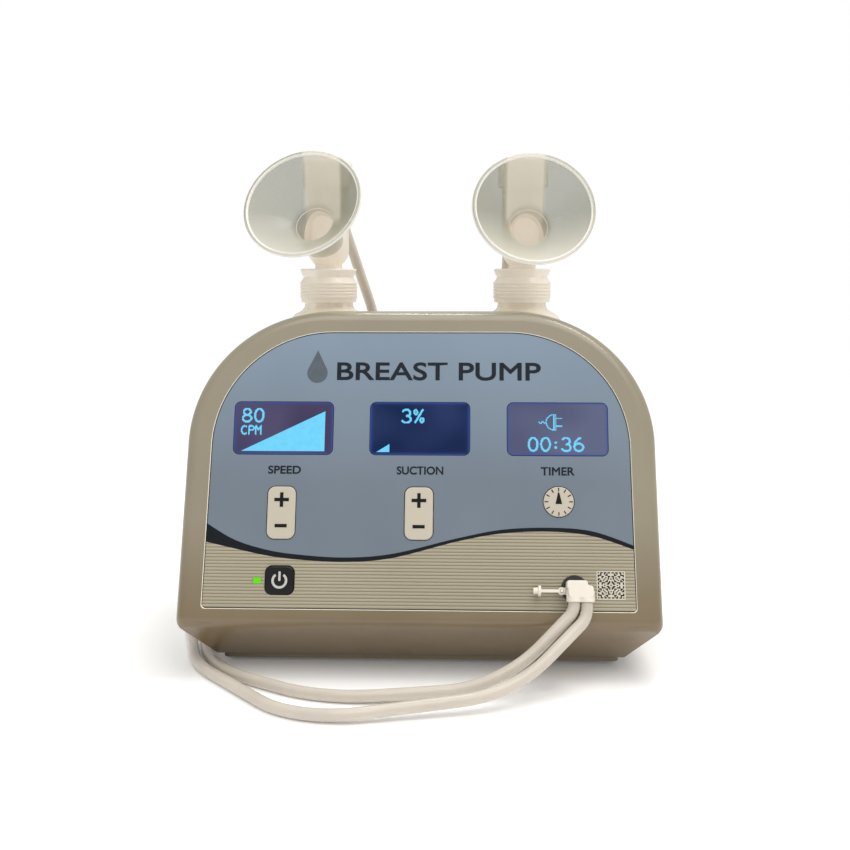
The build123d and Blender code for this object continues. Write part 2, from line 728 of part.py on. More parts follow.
with BuildPart() as single_pump_plug:
    with BuildSketch(FACE.offset(STRAP_OUT - 0.9)):
        with Locations(PLUG_PIVOT):
            Circle(2.2)
        with Locations((PLUG_PIVOT[0] - STRAP_LENGTH / 2, PLUG_PIVOT[1])):
            Rectangle(STRAP_LENGTH, 1.8)
        with Locations(PLUG_PIVOT):
            Circle(PLUG_PIVOT_RADIUS + RUNNING, mode=Mode.SUBTRACT)
    extrude(amount=1.8)
    flange_middle = face_point(PLUG_PIVOT[0] - STRAP_LENGTH, PLUG_PIVOT[1], STRAP_OUT)
    with BuildSketch(Plane(flange_middle, z_dir=(-1, 0, 0))):
        Circle(3.15)
    extrude(amount=1.6)
    with BuildSketch(Plane(flange_middle, z_dir=(-1, 0, 0))):
        Circle(2.1)
    extrude(amount=4.4, taper=4)
finish_piece(single_pump_plug.part, "single_pump_plug")

# ---- tubes -------------------------------------------------------------------------------

TABLE_Z = TUBE_RADIUS + 0.1
CAP_PORT_REACH = 19.4           # from the kit's axis to where the tube meets the cap's port

# Each tube's middle line runs straight between corners and is rounded at each by the radius
# beside it: the drop to the table, the loop in front of the base, the run round the left side
# and the climb behind the housing to the kit. The first corner lies below the socket.
LEFT_TUBE_DROP = (5, 12)
LEFT_TUBE_BENDS = (
    ((48, -122, 7), 90), ((-52, -133.5, TABLE_Z), 88), ((-127.5, -85, TABLE_Z), 94),
    ((-151, 11, TABLE_Z), 120), ((-140.5, 103.5, TABLE_Z), 46), ((-61, 103, 13), 45),
    ((-38, 86, 206), 60), ((-58.5, 61, 274), 30), ((-65, 72.5, CAP_PORT_Z), 16),
)
RIGHT_TUBE_DROP = (9, 14)
RIGHT_TUBE_BENDS = (
    ((54, -138, 9.5), 90), ((-61.5, -165.5, TABLE_Z), 60), ((-135.5, -80, TABLE_Z), 90),
    ((-161.5, 7.5, TABLE_Z), 120), ((-150, 112, TABLE_Z), 50), ((-58, 118.5, TABLE_Z), 60),
    ((44.5, 104.5, 14.5), 60), ((53.5, 89, 184), 60), ((58, 65, 275), 30),
    ((65, 71.5, CAP_PORT_Z), 16),
)
TUBE_INSERTION = 4.8            # how deep a tube sits in its socket


def tube(side, socket_spot, drop, bends):
    """Hose from a socket of the tubing connector to the cap port of one kit."""
    start = sockets_plane.from_local_coords(Vector(*socket_spot, TUBE_INSERTION))
    first_corner = sockets_plane.from_local_coords(Vector(*socket_spot, -drop[0]))
    finish = (KIT_X[side], KIT_Y + CAP_PORT_REACH, CAP_PORT_Z)
    corners = [first_corner, *(corner for corner, radius in bends)]
    radii = [drop[1], *(radius for corner, radius in bends)]
    with BuildPart() as hose:
        with BuildLine() as middle:
            FilletPolyline(start, *corners, finish, radius=radii)
        with BuildSketch(Plane(middle.line @ 0, z_dir=middle.line % 0)):
            Circle(TUBE_RADIUS)
            Circle(TUBE_BORE, mode=Mode.SUBTRACT)
        sweep(path=middle.line)
    return hose.part


finish_piece(tube("left", SOCKET_SPOTS[0], LEFT_TUBE_DROP, LEFT_TUBE_BENDS), "tube_left")
finish_piece(tube("right", SOCKET_SPOTS[1], RIGHT_TUBE_DROP, RIGHT_TUBE_BENDS), "tube_right")

# ---- collection kits ---------------------------------------------------------------------


def kit_profile_plane(side):
    """Upright plane through a kit's axis, with its own X as the radius and Y as the height."""
    return Plane(origin=(KIT_X[side], KIT_Y, 0), x_dir=(1, 0, 0), z_dir=(0, -1, 0))


def kit_axis(side):
    return Axis((KIT_X[side], KIT_Y, 0), (0, 0, 1))


def bottle(side):
    """Clear collection bottle with a rounded foot, sloping shoulder and threaded neck."""
    foot = WELL_FLOOR_Z
    inner = BOTTLE_RADIUS - BOTTLE_WALL
    neck_inner = NECK_RADIUS - BOTTLE_WALL
    with BuildPart() as vessel:
        with BuildSketch(kit_profile_plane(side)):
            with BuildLine():
                Polyline((0, foot), (BOTTLE_RADIUS - 4, foot))
                TangentArc((BOTTLE_RADIUS - 4, foot), (BOTTLE_RADIUS, foot + 4), tangent=(1, 0))
                Line((BOTTLE_RADIUS, foot + 4), (BOTTLE_RADIUS, 202))
                Spline((BOTTLE_RADIUS, 202), (21.5, 212.5), (NECK_RADIUS, 218.5),
                       tangents=((0, 1), (0, 1)))
                Polyline((NECK_RADIUS, 218.5), (NECK_RADIUS, NECK_TOP_Z), (0, NECK_TOP_Z),
                         (0, foot))
            make_face()
        revolve(axis=kit_axis(side))
        with BuildSketch(kit_profile_plane(side)):
            for ridge in (223, 227.5):
                with Locations((NECK_RADIUS, ridge)):
                    RectangleRounded(2, 1.6, 0.6)
        revolve(axis=kit_axis(side))
        with BuildSketch(kit_profile_plane(side)):
            with BuildLine():
                Polyline((0, foot + 2), (inner - 3, foot + 2), (inner, foot + 5), (inner, 202))
                Spline((inner, 202), (19.6, 211.6), (neck_inner, 218.5),
                       tangents=((0, 1), (0, 1)))
                Polyline((neck_inner, 218.5), (neck_inner, NECK_TOP_Z + 1),
                         (0, NECK_TOP_Z + 1), (0, foot + 2))
            make_face()
        revolve(axis=kit_axis(side), mode=Mode.SUBTRACT)
    return vessel.part


COLLAR_INNER = 17.5
COLLAR_OUTER = 19.2
COLLAR_FOOT_Z = 219.8
COLLAR_RIBS = 5
SPIGOT_RADIUS = 9
SPIGOT_BORE = 7.5


def collar_outline():
    """Half section of the screw collar: ribbed band, waist and flared lip."""
    rib = 2.2
    points = [(0, 241), (17.2, 241), (18.4, 242), (19, 241.2), (17.9, 238.6), (16.6, 236.4)]
    for index in range(COLLAR_RIBS):
        top = 233.2 - index * rib
        points.append((COLLAR_OUTER - 0.5, top))
        points.append((COLLAR_OUTER, top - 0.4))
        points.append((COLLAR_OUTER, top - 1.4))
        points.append((COLLAR_OUTER - 0.5, top - 1.8))
    points.append((COLLAR_OUTER - 0.8, COLLAR_FOOT_Z))
    points.append((0, COLLAR_FOOT_Z))
    return points


def tunnel_direction(side):
    """Unit vector along the flange tunnel, from the bottle's axis towards the breast."""
    yaw = KIT_YAW[side]
    rise = TUNNEL_RISE[side]
    return Vector(sin(yaw) * cos(rise), -cos(yaw) * cos(rise), sin(rise))


def tunnel_profile_plane(side):
    """Plane through the tunnel's axis, with its own X along the tunnel and Y as the radius."""
    yaw = KIT_YAW[side]
    return Plane(
        origin=(KIT_X[side], KIT_Y, TUNNEL_Z),
        x_dir=tunnel_direction(side),
        z_dir=(cos(yaw), sin(yaw), 0),
    )


def flange_body(side):
    """Flange cone and tunnel, round body, neck and screw collar, moulded in one."""
    centre = Plane(origin=(KIT_X[side], KIT_Y, TUNNEL_Z))
    tunnel_axis = Axis((KIT_X[side], KIT_Y, TUNNEL_Z), tunnel_direction(side))
    wall = HOUSING_RADIUS - TUNNEL_BORE
    with BuildPart() as flange:
        with BuildSketch(kit_profile_plane(side)):
            with BuildLine():
                Polyline(*collar_outline(), close=True)
            make_face()
        revolve(axis=kit_axis(side))
        with BuildSketch(kit_profile_plane(side)):
            with BuildLine():
                Polyline((0, 219), (COLLAR_INNER, 219), (COLLAR_INNER, 231.4), (16.4, 232.6),
                         (0, 232.6), close=True)
            make_face()
        revolve(axis=kit_axis(side), mode=Mode.SUBTRACT)
        with BuildSketch(Plane.XY.offset(226)):
            with Locations((KIT_X[side], KIT_Y)):
                Circle(SPIGOT_RADIUS)
        extrude(amount=24)
        with Locations(centre):
            Sphere(HOUSING_RADIUS)
        with BuildSketch(Plane.XY.offset(TUNNEL_Z)):
            with Locations((KIT_X[side], KIT_Y)):
                Circle(HOUSING_RADIUS)
        extrude(amount=HOUSING_TOP_Z - TUNNEL_Z)
        with BuildSketch(Plane.XY.offset(HOUSING_TOP_Z - 3)):
            with Locations((KIT_X[side], KIT_Y)):
                Circle(HOUSING_RADIUS + 1.1)
        extrude(amount=3)
        with BuildSketch(tunnel_profile_plane(side)):
            with BuildLine():
                Polyline((0, 0), (0, HOUSING_RADIUS), (TUNNEL_LENGTH - 2, HOUSING_RADIUS))
                Spline((TUNNEL_LENGTH - 2, HOUSING_RADIUS), (34, 16.9),
                       (CONE_REACH - 3.4, RIM_RADIUS - 1.4), tangents=((1, 0), (0.72, 0.69)))
                Polyline((CONE_REACH - 3.4, RIM_RADIUS - 1.4), (CONE_REACH - 1.9, RIM_RADIUS),
                         (CONE_REACH - 0.4, RIM_RADIUS), (CONE_REACH, RIM_RADIUS - 0.5),
                         (CONE_REACH, 0), (0, 0))
            make_face()
        revolve(axis=tunnel_axis)
        with BuildSketch(tunnel_profile_plane(side)):
            with BuildLine():
                Polyline((0, 0), (0, TUNNEL_BORE), (TUNNEL_LENGTH, TUNNEL_BORE))
                Spline((TUNNEL_LENGTH, TUNNEL_BORE), (35.6, 16.4),
                       (CONE_REACH - 1.2, RIM_RADIUS - 1.9), tangents=((1, 0), (0.74, 0.67)))
                Polyline((CONE_REACH - 1.2, RIM_RADIUS - 1.9), (CONE_REACH + 1, RIM_RADIUS - 1.2),
                         (CONE_REACH + 1, 0), (0, 0))
            make_face()
        revolve(axis=tunnel_axis, mode=Mode.SUBTRACT)
        with Locations(centre):
            Sphere(TUNNEL_BORE, mode=Mode.SUBTRACT)
        with BuildSketch(Plane.XY.offset(TUNNEL_Z)):
            with Locations((KIT_X[side], KIT_Y)):
                Circle(HOUSING_RADIUS - wall)
        extrude(amount=60, mode=Mode.SUBTRACT)
        with BuildSketch(Plane.XY.offset(225)):
            with Locations((KIT_X[side], KIT_Y)):
                Circle(SPIGOT_BORE)
        extrude(amount=30, mode=Mode.SUBTRACT)
    return flange.part


DIAPHRAGM_RADIUS = 12.2


def diaphragm(side):
    """Silicone cup that keeps milk out of the tube; its rim lies on the body's top edge."""
    top = HOUSING_TOP_Z + 1.2
    with BuildPart() as cup:
        with BuildSketch(kit_profile_plane(side)):
            with BuildLine():
                Polyline((0, 287), (9, 287), (DIAPHRAGM_RADIUS, 291), (DIAPHRAGM_RADIUS, 300),
                         (14.9, 300), (14.9, top), (DIAPHRAGM_RADIUS - 1, top),
                         (DIAPHRAGM_RADIUS - 1, 291.5), (8.6, 288), (0, 288), close=True)
            make_face()
        revolve(axis=kit_axis(side))
    return cup.part


CAP_SKIRT_INNER = 15.1


def adapter_cap(side):
    """Flared cap with a skirt over the body's rim and a tube port at the back."""
    skirt = HOUSING_TOP_Z - 4.5
    seat = HOUSING_TOP_Z + 1.2
    with BuildPart() as cap:
        with BuildSketch(kit_profile_plane(side)):
            with BuildLine():
                Polyline((CAP_SKIRT_INNER, skirt), (16.4, skirt), (16.4, 306))
                Spline((16.4, 306), (16.2, 310.8), (11.5, CAP_TOP_Z), tangents=((0.1, 1), (-1, 0.05)))
                Polyline((11.5, CAP_TOP_Z), (0, CAP_TOP_Z), (0, CAP_TOP_Z - 2.2),
                         (12.5, CAP_TOP_Z - 2.2), (12.5, seat), (CAP_SKIRT_INNER, seat),
                         (CAP_SKIRT_INNER, skirt))
            make_face()
        revolve(axis=kit_axis(side))
        with BuildSketch(Plane.XZ.offset(-KIT_Y - 14)):
            with Locations((KIT_X[side], CAP_PORT_Z)):
                Circle(4)
        extrude(amount=-5)
        with BuildSketch(Plane.XZ.offset(-KIT_Y - 14)):
            with Locations((KIT_X[side], CAP_PORT_Z)):
                Circle(TUBE_BORE - RUNNING)
        extrude(amount=-9)
        with BuildSketch(Plane.XZ.offset(-KIT_Y - 10)):
            with Locations((KIT_X[side], CAP_PORT_Z)):
                Circle(1)
        extrude(amount=-20, mode=Mode.SUBTRACT)
    return cap.part


def duckbill_valve(side):
    """Silicone valve on the spigot under the neck: a ring that narrows to a flat slit."""
    with BuildPart() as valve:
        with BuildSketch(Plane.XY.offset(226)):
            with Locations((KIT_X[side], KIT_Y)):
                Circle(10.3)
        extrude(amount=5.5)
        with BuildSketch(Plane.XY.offset(225.9)):
            with Locations((KIT_X[side], KIT_Y)):
                Circle(SPIGOT_RADIUS + 0.03)
        extrude(amount=6, mode=Mode.SUBTRACT)
        with BuildSketch(Plane.XY.offset(226)):
            with Locations((KIT_X[side], KIT_Y)):
                Circle(10.3)
        with BuildSketch(Plane.XY.offset(209)):
            with Locations((KIT_X[side], KIT_Y)):
                Ellipse(8.4, 1)
        loft()
    return valve.part


for side in KIT_X:
    finish_piece(bottle(side), side + "_bottle")
    finish_piece(flange_body(side), side + "_flange_body")
    finish_piece(diaphragm(side), side + "_diaphragm")
    finish_piece(adapter_cap(side), side + "_adapter_cap")
    finish_piece(duckbill_valve(side), side + "_duckbill_valve")

# ---- drive -------------------------------------------------------------------------------

GEAR_RADIUS = MODULE * GEAR_TEETH / 2
PINION_RADIUS = MODULE * PINION_TEETH / 2
GEAR_Z = RACK_PITCH_Z + PINION_RADIUS
MOTOR_ANGLE = radians(160)      # of the motor's axis seen from the gear's axis
MOTOR_X = GEAR_X + (GEAR_RADIUS + PINION_RADIUS) * cos(MOTOR_ANGLE)
MOTOR_Z = GEAR_Z + (GEAR_RADIUS + PINION_RADIUS) * sin(MOTOR_ANGLE)
SHAFT_RADIUS = 3
MOTOR_SHAFT_RADIUS = 2
BRACKET_FOOT_Z = 12.5


def involute(angle):
    return tan(angle) - angle


def gear_outline(teeth):
    """Corner points of an external spur gear with tooth 0 centred on the local X axis."""
    pitch_radius = MODULE * teeth / 2
    base_radius = pitch_radius * cos(PRESSURE)
    root_radius = pitch_radius - DEDENDUM
    tip_radius = pitch_radius + ADDENDUM
    half_tooth = pi / (2 * teeth) - BACKLASH / (2 * pitch_radius)
    flank = []
    for step in range(FLANK_STEPS + 1):
        radius = base_radius + (tip_radius - base_radius) * step / FLANK_STEPS
        swept = involute(acos(min(1, base_radius / radius)))
        flank.append((radius, half_tooth + involute(PRESSURE) - swept))
    flank.insert(0, (root_radius, flank[0][1]))
    points = []
    for tooth in range(teeth):
        middle = 2 * pi * tooth / teeth
        sides = [(radius, middle - half) for radius, half in flank]
        sides += [(radius, middle + half) for radius, half in reversed(flank)]
        points += [(radius * cos(angle), radius * sin(angle)) for radius, angle in sides]
    return points


def spur_gear(teeth, x, z, front_y, width, tooth_angle, bore):
    """Spur gear on an axis along Y, with its first tooth at tooth_angle in the XZ plane."""
    plane = Plane(
        origin=(x, front_y + width, z),
        x_dir=(cos(tooth_angle), 0, sin(tooth_angle)),
        z_dir=(0, -1, 0),
    )
    with BuildPart() as gear:
        with BuildSketch(plane):
            with BuildLine():
                Polyline(*gear_outline(teeth), close=True)
            make_face()
            Circle(bore, mode=Mode.SUBTRACT)
        extrude(amount=width)
    return gear.part


def along_y(start_y):
    """Plane across Y at start_y whose extrusions run towards the back."""
    return Plane(origin=(0, start_y, 0), x_dir=(1, 0, 0), z_dir=(0, -1, 0))


reduction_gear = spur_gear(
    GEAR_TEETH, GEAR_X, GEAR_Z, 29, 6, MOTOR_ANGLE, SHAFT_RADIUS + 0.01
)
finish_piece(reduction_gear, "reduction_gear")
drive_pinion = spur_gear(
    PINION_TEETH, GEAR_X, GEAR_Z, 15, 11, -pi / 2 + pi / PINION_TEETH, SHAFT_RADIUS + 0.01
)
finish_piece(drive_pinion, "drive_pinion")
motor_pinion = spur_gear(
    PINION_TEETH, MOTOR_X, MOTOR_Z, 28.5, 7, MOTOR_ANGLE + pi + pi / PINION_TEETH,
    MOTOR_SHAFT_RADIUS + 0.01,
)
finish_piece(motor_pinion, "motor_pinion")

with BuildPart() as gear_shaft:
    with BuildSketch(along_y(2)):
        with Locations((GEAR_X, GEAR_Z)):
            Circle(SHAFT_RADIUS)
    extrude(amount=-39)
finish_piece(gear_shaft.part, "gear_shaft")

with BuildPart() as shaft_bushes:
    for start_y in (3, 35.3):
        with BuildSketch(along_y(start_y)):
            with Locations((GEAR_X, GEAR_Z)):
                Circle(5)
                Circle(SHAFT_RADIUS + RUNNING, mode=Mode.SUBTRACT)
        extrude(amount=-4.7)
finish_piece(shaft_bushes.part, "shaft_bushes")

with BuildPart() as motor:
    with BuildSketch(along_y(39.2)):
        with Locations((MOTOR_X, MOTOR_Z)):
            Circle(18)
    extrude(amount=-32)
    with BuildSketch(along_y(36)):
        with Locations((MOTOR_X, MOTOR_Z)):
            Circle(7)
    extrude(amount=-4)
    with BuildSketch(along_y(71.2)):
        with Locations((MOTOR_X, MOTOR_Z)):
            Circle(9)
    extrude(amount=-3)
    with BuildSketch(along_y(35)):
        with Locations((MOTOR_X, MOTOR_Z)):
            Circle(MOTOR_SHAFT_RADIUS + RUNNING)
    extrude(amount=-36, mode=Mode.SUBTRACT)
finish_piece(motor.part, "motor")

with BuildPart() as motor_shaft:
    with BuildSketch(along_y(27)):
        with Locations((MOTOR_X, MOTOR_Z)):
            Circle(MOTOR_SHAFT_RADIUS)
    extrude(amount=-42)
finish_piece(motor_shaft.part, "motor_shaft")

BRACKET_WALL = 3
CYLINDER_START = 20
CYLINDER_END = 74
TIE_ROD_CIRCLE = 25.6
TIE_ROD_RADIUS = 1.5

with BuildPart() as drive_bracket:
    with BuildSketch(Plane.XY.offset(PLATE_TOP_Z)):
        with Locations((-24, 20)):
            Rectangle(88, 58)
        with Locations((40, 20)):
            Rectangle(48, 78)
    extrude(amount=BRACKET_FOOT_Z - PLATE_TOP_Z)
    with BuildSketch(along_y(36)):
        with Locations(((-70 + 12) / 2 - 1, 50)):
            Rectangle(72, 80)
    extrude(amount=-BRACKET_WALL)
    with BuildSketch(along_y(4)):
        with Locations((GEAR_X, 41)):
            Rectangle(38, 62)
    extrude(amount=-BRACKET_WALL)
    with BuildSketch(Plane.YZ.offset(CYLINDER_START - BRACKET_WALL)):
        with Locations((ROD_Y, 42.5)):
            Rectangle(60, 63)
    extrude(amount=BRACKET_WALL)
    with BuildSketch(Plane.YZ.offset(-50)):
        with Locations((ROD_Y, 28)):
            Rectangle(16, 32)
        with Locations((ROD_Y, 42)):
            Rectangle(ROD_WIDTH + 2 * RUNNING, 4.1, mode=Mode.SUBTRACT)
    extrude(amount=60)
    with BuildSketch(along_y(0)):
        with Locations((GEAR_X, GEAR_Z)):
            Circle(5.01)
        with Locations((MOTOR_X, MOTOR_Z)):
            Circle(7.1)
    extrude(amount=-45, mode=Mode.SUBTRACT)
    with BuildSketch(Plane.YZ.offset(CYLINDER_START - BRACKET_WALL - 1)):
        with Locations((ROD_Y, CYLINDER_Z)):
            Circle(14)
            with PolarLocations(TIE_ROD_CIRCLE, 4, start_angle=45):
                Circle(TIE_ROD_RADIUS + 0.05)
    extrude(amount=5, mode=Mode.SUBTRACT)
    with BuildSketch(Plane.XY.offset(PLATE_TOP_Z - 1)):
        with Locations(*BRACKET_SCREWS):
            Circle(SCREW_RADIUS + 0.2)
    extrude(amount=6, mode=Mode.SUBTRACT)
finish_piece(drive_bracket.part, "drive_bracket")

bracket_top = Plane.XY.offset(BRACKET_FOOT_Z)
finish_piece(screws(bracket_top, BRACKET_SCREWS, 2.8, 2, 8, shank), "bracket_screws")

TOOTH_PITCH = pi * MODULE
ROD_FOOT_Z = 40
ROD_LEFT = -28
PISTON_LEFT = 62
PISTON_LENGTH = 8


def rack_outline():
    """Side outline of the piston rod with its rack teeth, in X and Z."""
    root_z = RACK_PITCH_Z - DEDENDUM
    tip_z = RACK_PITCH_Z + ADDENDUM
    half_pitch_line = TOOTH_PITCH / 4 - BACKLASH / 2
    half_root = half_pitch_line + DEDENDUM * tan(PRESSURE)
    half_tip = half_pitch_line - ADDENDUM * tan(PRESSURE)
    points = [(PISTON_LEFT, ROD_FOOT_Z), (ROD_LEFT, ROD_FOOT_Z), (ROD_LEFT, root_z)]
    for index in range(-2, 10):
        middle = GEAR_X + index * TOOTH_PITCH
        points.append((middle - half_root, root_z))
        points.append((middle - half_tip, tip_z))
        points.append((middle + half_tip, tip_z))
        points.append((middle + half_root, root_z))
    points.append((PISTON_LEFT, root_z))
    return points


with BuildPart() as piston_rack:
    with BuildSketch(along_y(ROD_Y - ROD_WIDTH / 2)):
        with BuildLine():
            Polyline(*rack_outline(), close=True)
        make_face()
    extrude(amount=-ROD_WIDTH)
    with BuildSketch(Plane.YZ.offset(PISTON_LEFT)):
        with Locations((ROD_Y, CYLINDER_Z)):
            Circle(3.5)
    extrude(amount=5)
finish_piece(piston_rack.part, "piston_rack")

SEAL_START = 65
SEAL_WIDTH = 2.2
SEAL_INNER = 17.5

with BuildPart() as piston:
    with BuildSketch(Plane.YZ.offset(PISTON_LEFT)):
        with Locations((ROD_Y, CYLINDER_Z)):
            Circle(CYLINDER_BORE - 0.4)
    extrude(amount=PISTON_LENGTH)
    with BuildSketch(Plane.YZ.offset(PISTON_LEFT)):
        with Locations((ROD_Y, CYLINDER_Z)):
            Circle(3.51)
    extrude(amount=5.02, mode=Mode.SUBTRACT)
    with BuildSketch(Plane.YZ.offset(SEAL_START)):
        with Locations((ROD_Y, CYLINDER_Z)):
            Circle(CYLINDER_BORE + 1)
            Circle(SEAL_INNER, mode=Mode.SUBTRACT)
    extrude(amount=SEAL_WIDTH, mode=Mode.SUBTRACT)
finish_piece(piston.part, "piston")

with BuildPart() as piston_seal:
    with BuildSketch(Plane.YZ.offset(SEAL_START + 0.02)):
        with Locations((ROD_Y, CYLINDER_Z)):
            Circle(CYLINDER_BORE - RUNNING)
            Circle(SEAL_INNER + 0.01, mode=Mode.SUBTRACT)
    extrude(amount=SEAL_WIDTH - 0.04)
finish_piece(piston_seal.part, "piston_seal")

with BuildPart() as vacuum_cylinder:
    with BuildSketch(Plane.YZ.offset(CYLINDER_START)):
        with Locations((ROD_Y, CYLINDER_Z)):
            Circle(23)
    extrude(amount=CYLINDER_END - CYLINDER_START)
    for flange_x in (CYLINDER_START, CYLINDER_END - 3):
        with BuildSketch(Plane.YZ.offset(flange_x)):
            with Locations((ROD_Y, CYLINDER_Z)):
                Circle(28.5)
        extrude(amount=3)
    with BuildSketch(Plane.YZ.offset(CYLINDER_START)):
        with Locations((ROD_Y, CYLINDER_Z)):
            Circle(CYLINDER_BORE)
            with PolarLocations(TIE_ROD_CIRCLE, 4, start_angle=45):
                Circle(TIE_ROD_RADIUS + 0.05)
    extrude(amount=60, mode=Mode.SUBTRACT)
finish_piece(vacuum_cylinder.part, "vacuum_cylinder")

HEAD_END = CYLINDER_END + 7
BARB_X = CYLINDER_END + 3.5

with BuildPart() as cylinder_head:
    with BuildSketch(Plane.YZ.offset(CYLINDER_END)):
        with Locations((ROD_Y, CYLINDER_Z)):
            Circle(28.5)
            with PolarLocations(TIE_ROD_CIRCLE, 4, start_angle=45):
                Circle(TIE_ROD_RADIUS + 0.05, mode=Mode.SUBTRACT)
    extrude(amount=HEAD_END - CYLINDER_END)
    with BuildSketch(along_y(-22)):
        with Locations((BARB_X, CYLINDER_Z)):
            Circle(3)
    extrude(amount=-20)
    with BuildSketch(along_y(-23)):
        with Locations((BARB_X, CYLINDER_Z)):
            Circle(1.5)
    extrude(amount=-43, mode=Mode.SUBTRACT)
    with BuildSketch(Plane.YZ.offset(CYLINDER_END - 1)):
        with Locations((ROD_Y, CYLINDER_Z)):
            Circle(1.5)
    extrude(amount=12, mode=Mode.SUBTRACT)
finish_piece(cylinder_head.part, "cylinder_head")

with BuildPart() as tie_rods:
    with BuildSketch(Plane.YZ.offset(CYLINDER_START - BRACKET_WALL)):
        with Locations((ROD_Y, CYLINDER_Z)):
            with PolarLocations(TIE_ROD_CIRCLE, 4, start_angle=45):
                Circle(TIE_ROD_RADIUS)
    extrude(amount=HEAD_END - CYLINDER_START + BRACKET_WALL)
    for start_x, height in ((HEAD_END, 2), (CYLINDER_START - BRACKET_WALL, -2)):
        with BuildSketch(Plane.YZ.offset(start_x)):
            with Locations((ROD_Y, CYLINDER_Z)):
                with PolarLocations(TIE_ROD_CIRCLE, 4, start_angle=45):
                    RegularPolygon(2.7, 6)
        extrude(amount=height)
finish_piece(tie_rods.part, "tie_rods")

with BuildPart() as vacuum_valve:
    with BuildSketch(Plane.YZ.offset(HEAD_END)):
        with Locations((ROD_Y, CYLINDER_Z)):
            Rectangle(18, 18)
    extrude(amount=6)
    with BuildSketch(Plane.YZ.offset(HEAD_END + 6)):
        with Locations((ROD_Y, CYLINDER_Z + 1)):
            Circle(8)
    extrude(amount=18)
finish_piece(vacuum_valve.part, "vacuum_valve")

HOSE_RADIUS = 4.5
HOSE_BORE = 3.05

with BuildPart() as internal_hose:
    barb_end = Vector(BARB_X, -10, CYLINDER_Z)
    barb_tip = Vector(BARB_X, -24, CYLINDER_Z)
    tail_tip = face_point(PORT_SPOT[0], PORT_SPOT[1], -PORT_TAIL_DEPTH - 2)
    tail_end = face_point(PORT_SPOT[0], PORT_SPOT[1], -23)
    with BuildLine() as hose_middle:
        Line(barb_end, barb_tip)
        Bezier(
            barb_tip,
            barb_tip + Vector(0, -12, 0),
            tail_tip + Vector(0, 12 * cos(LEAN), -12 * sin(LEAN)),
            tail_tip,
        )
        Line(tail_tip, tail_end)
    hose_start = Plane(barb_end, z_dir=(0, -1, 0))
    with BuildSketch(hose_start):
        Circle(HOSE_RADIUS)
    sweep(path=hose_middle.line)
    with BuildSketch(hose_start):
        Circle(HOSE_BORE)
    sweep(path=hose_middle.line, mode=Mode.SUBTRACT)
finish_piece(internal_hose.part, "internal_hose")

# ---- power -------------------------------------------------------------------------------

with BuildPart() as power_supply:
    with BuildSketch(Plane.XY.offset(PLATE_TOP_Z)):
        with Locations((97, -2)):
            Rectangle(30, 96)
    extrude(amount=1.6)
    with BuildSketch(Plane.XY.offset(PLATE_TOP_Z + 1.6)):
        with Locations((98, -18)):
            RectangleRounded(22, 30, 1)
        with Locations((92, 30)):
            Rectangle(8, 20)
    extrude(amount=22)
    with BuildSketch(Plane.XY.offset(PLATE_TOP_Z + 1.6)):
        with Locations((104, 8), (104, 22), (93, 8)):
            Circle(5)
    extrude(amount=18)
finish_piece(power_supply.part, "power_supply")

with BuildPart() as battery_pack:
    with BuildSketch(Plane.XY.offset(PLATE_TOP_Z)):
        with Locations((-96, 5)):
            RectangleRounded(40, 92, 3)
    extrude(amount=44)
    with BuildSketch(Plane.XY.offset(PLATE_TOP_Z + 44)):
        with Locations((-96, -18), (-96, 28)):
            Rectangle(36, 12)
    extrude(amount=1)
finish_piece(battery_pack.part, "battery_pack")

INLET_SPOT = (95, 60)

with BuildPart() as power_inlet:
    with BuildSketch(along_y(BACK_Y)):
        with Locations(INLET_SPOT):
            RectangleRounded(32, 25, 2)
    extrude(amount=-2.5)
    with BuildSketch(along_y(BACK_Y)):
        with Locations(INLET_SPOT):
            Rectangle(27.4, 20.4)
    extrude(amount=24)
    with BuildSketch(along_y(BACK_Y + 2.5)):
        with Locations(INLET_SPOT):
            RectangleRounded(24, 16.5, 2)
    extrude(amount=18, mode=Mode.SUBTRACT)
    with BuildSketch(along_y(BACK_Y - 1)):
        with Locations((95 - 7, 58), (95, 62), (95 + 7, 58)):
            Rectangle(2, 4)
    extrude(amount=20)
finish_piece(power_inlet.part, "power_inlet")
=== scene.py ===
"""Looks of a double electric breast pump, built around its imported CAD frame.

Frame positions are in metres. What is printed or raised on the leaning front panel is drawn in
the panel's own plane, in millimetres: across (to the right), up the slope and out of the face.
"""

import json
import math
from types import SimpleNamespace

import bmesh
import bpy
from mathutils import Matrix, Vector
from mathutils.geometry import convex_hull_2d

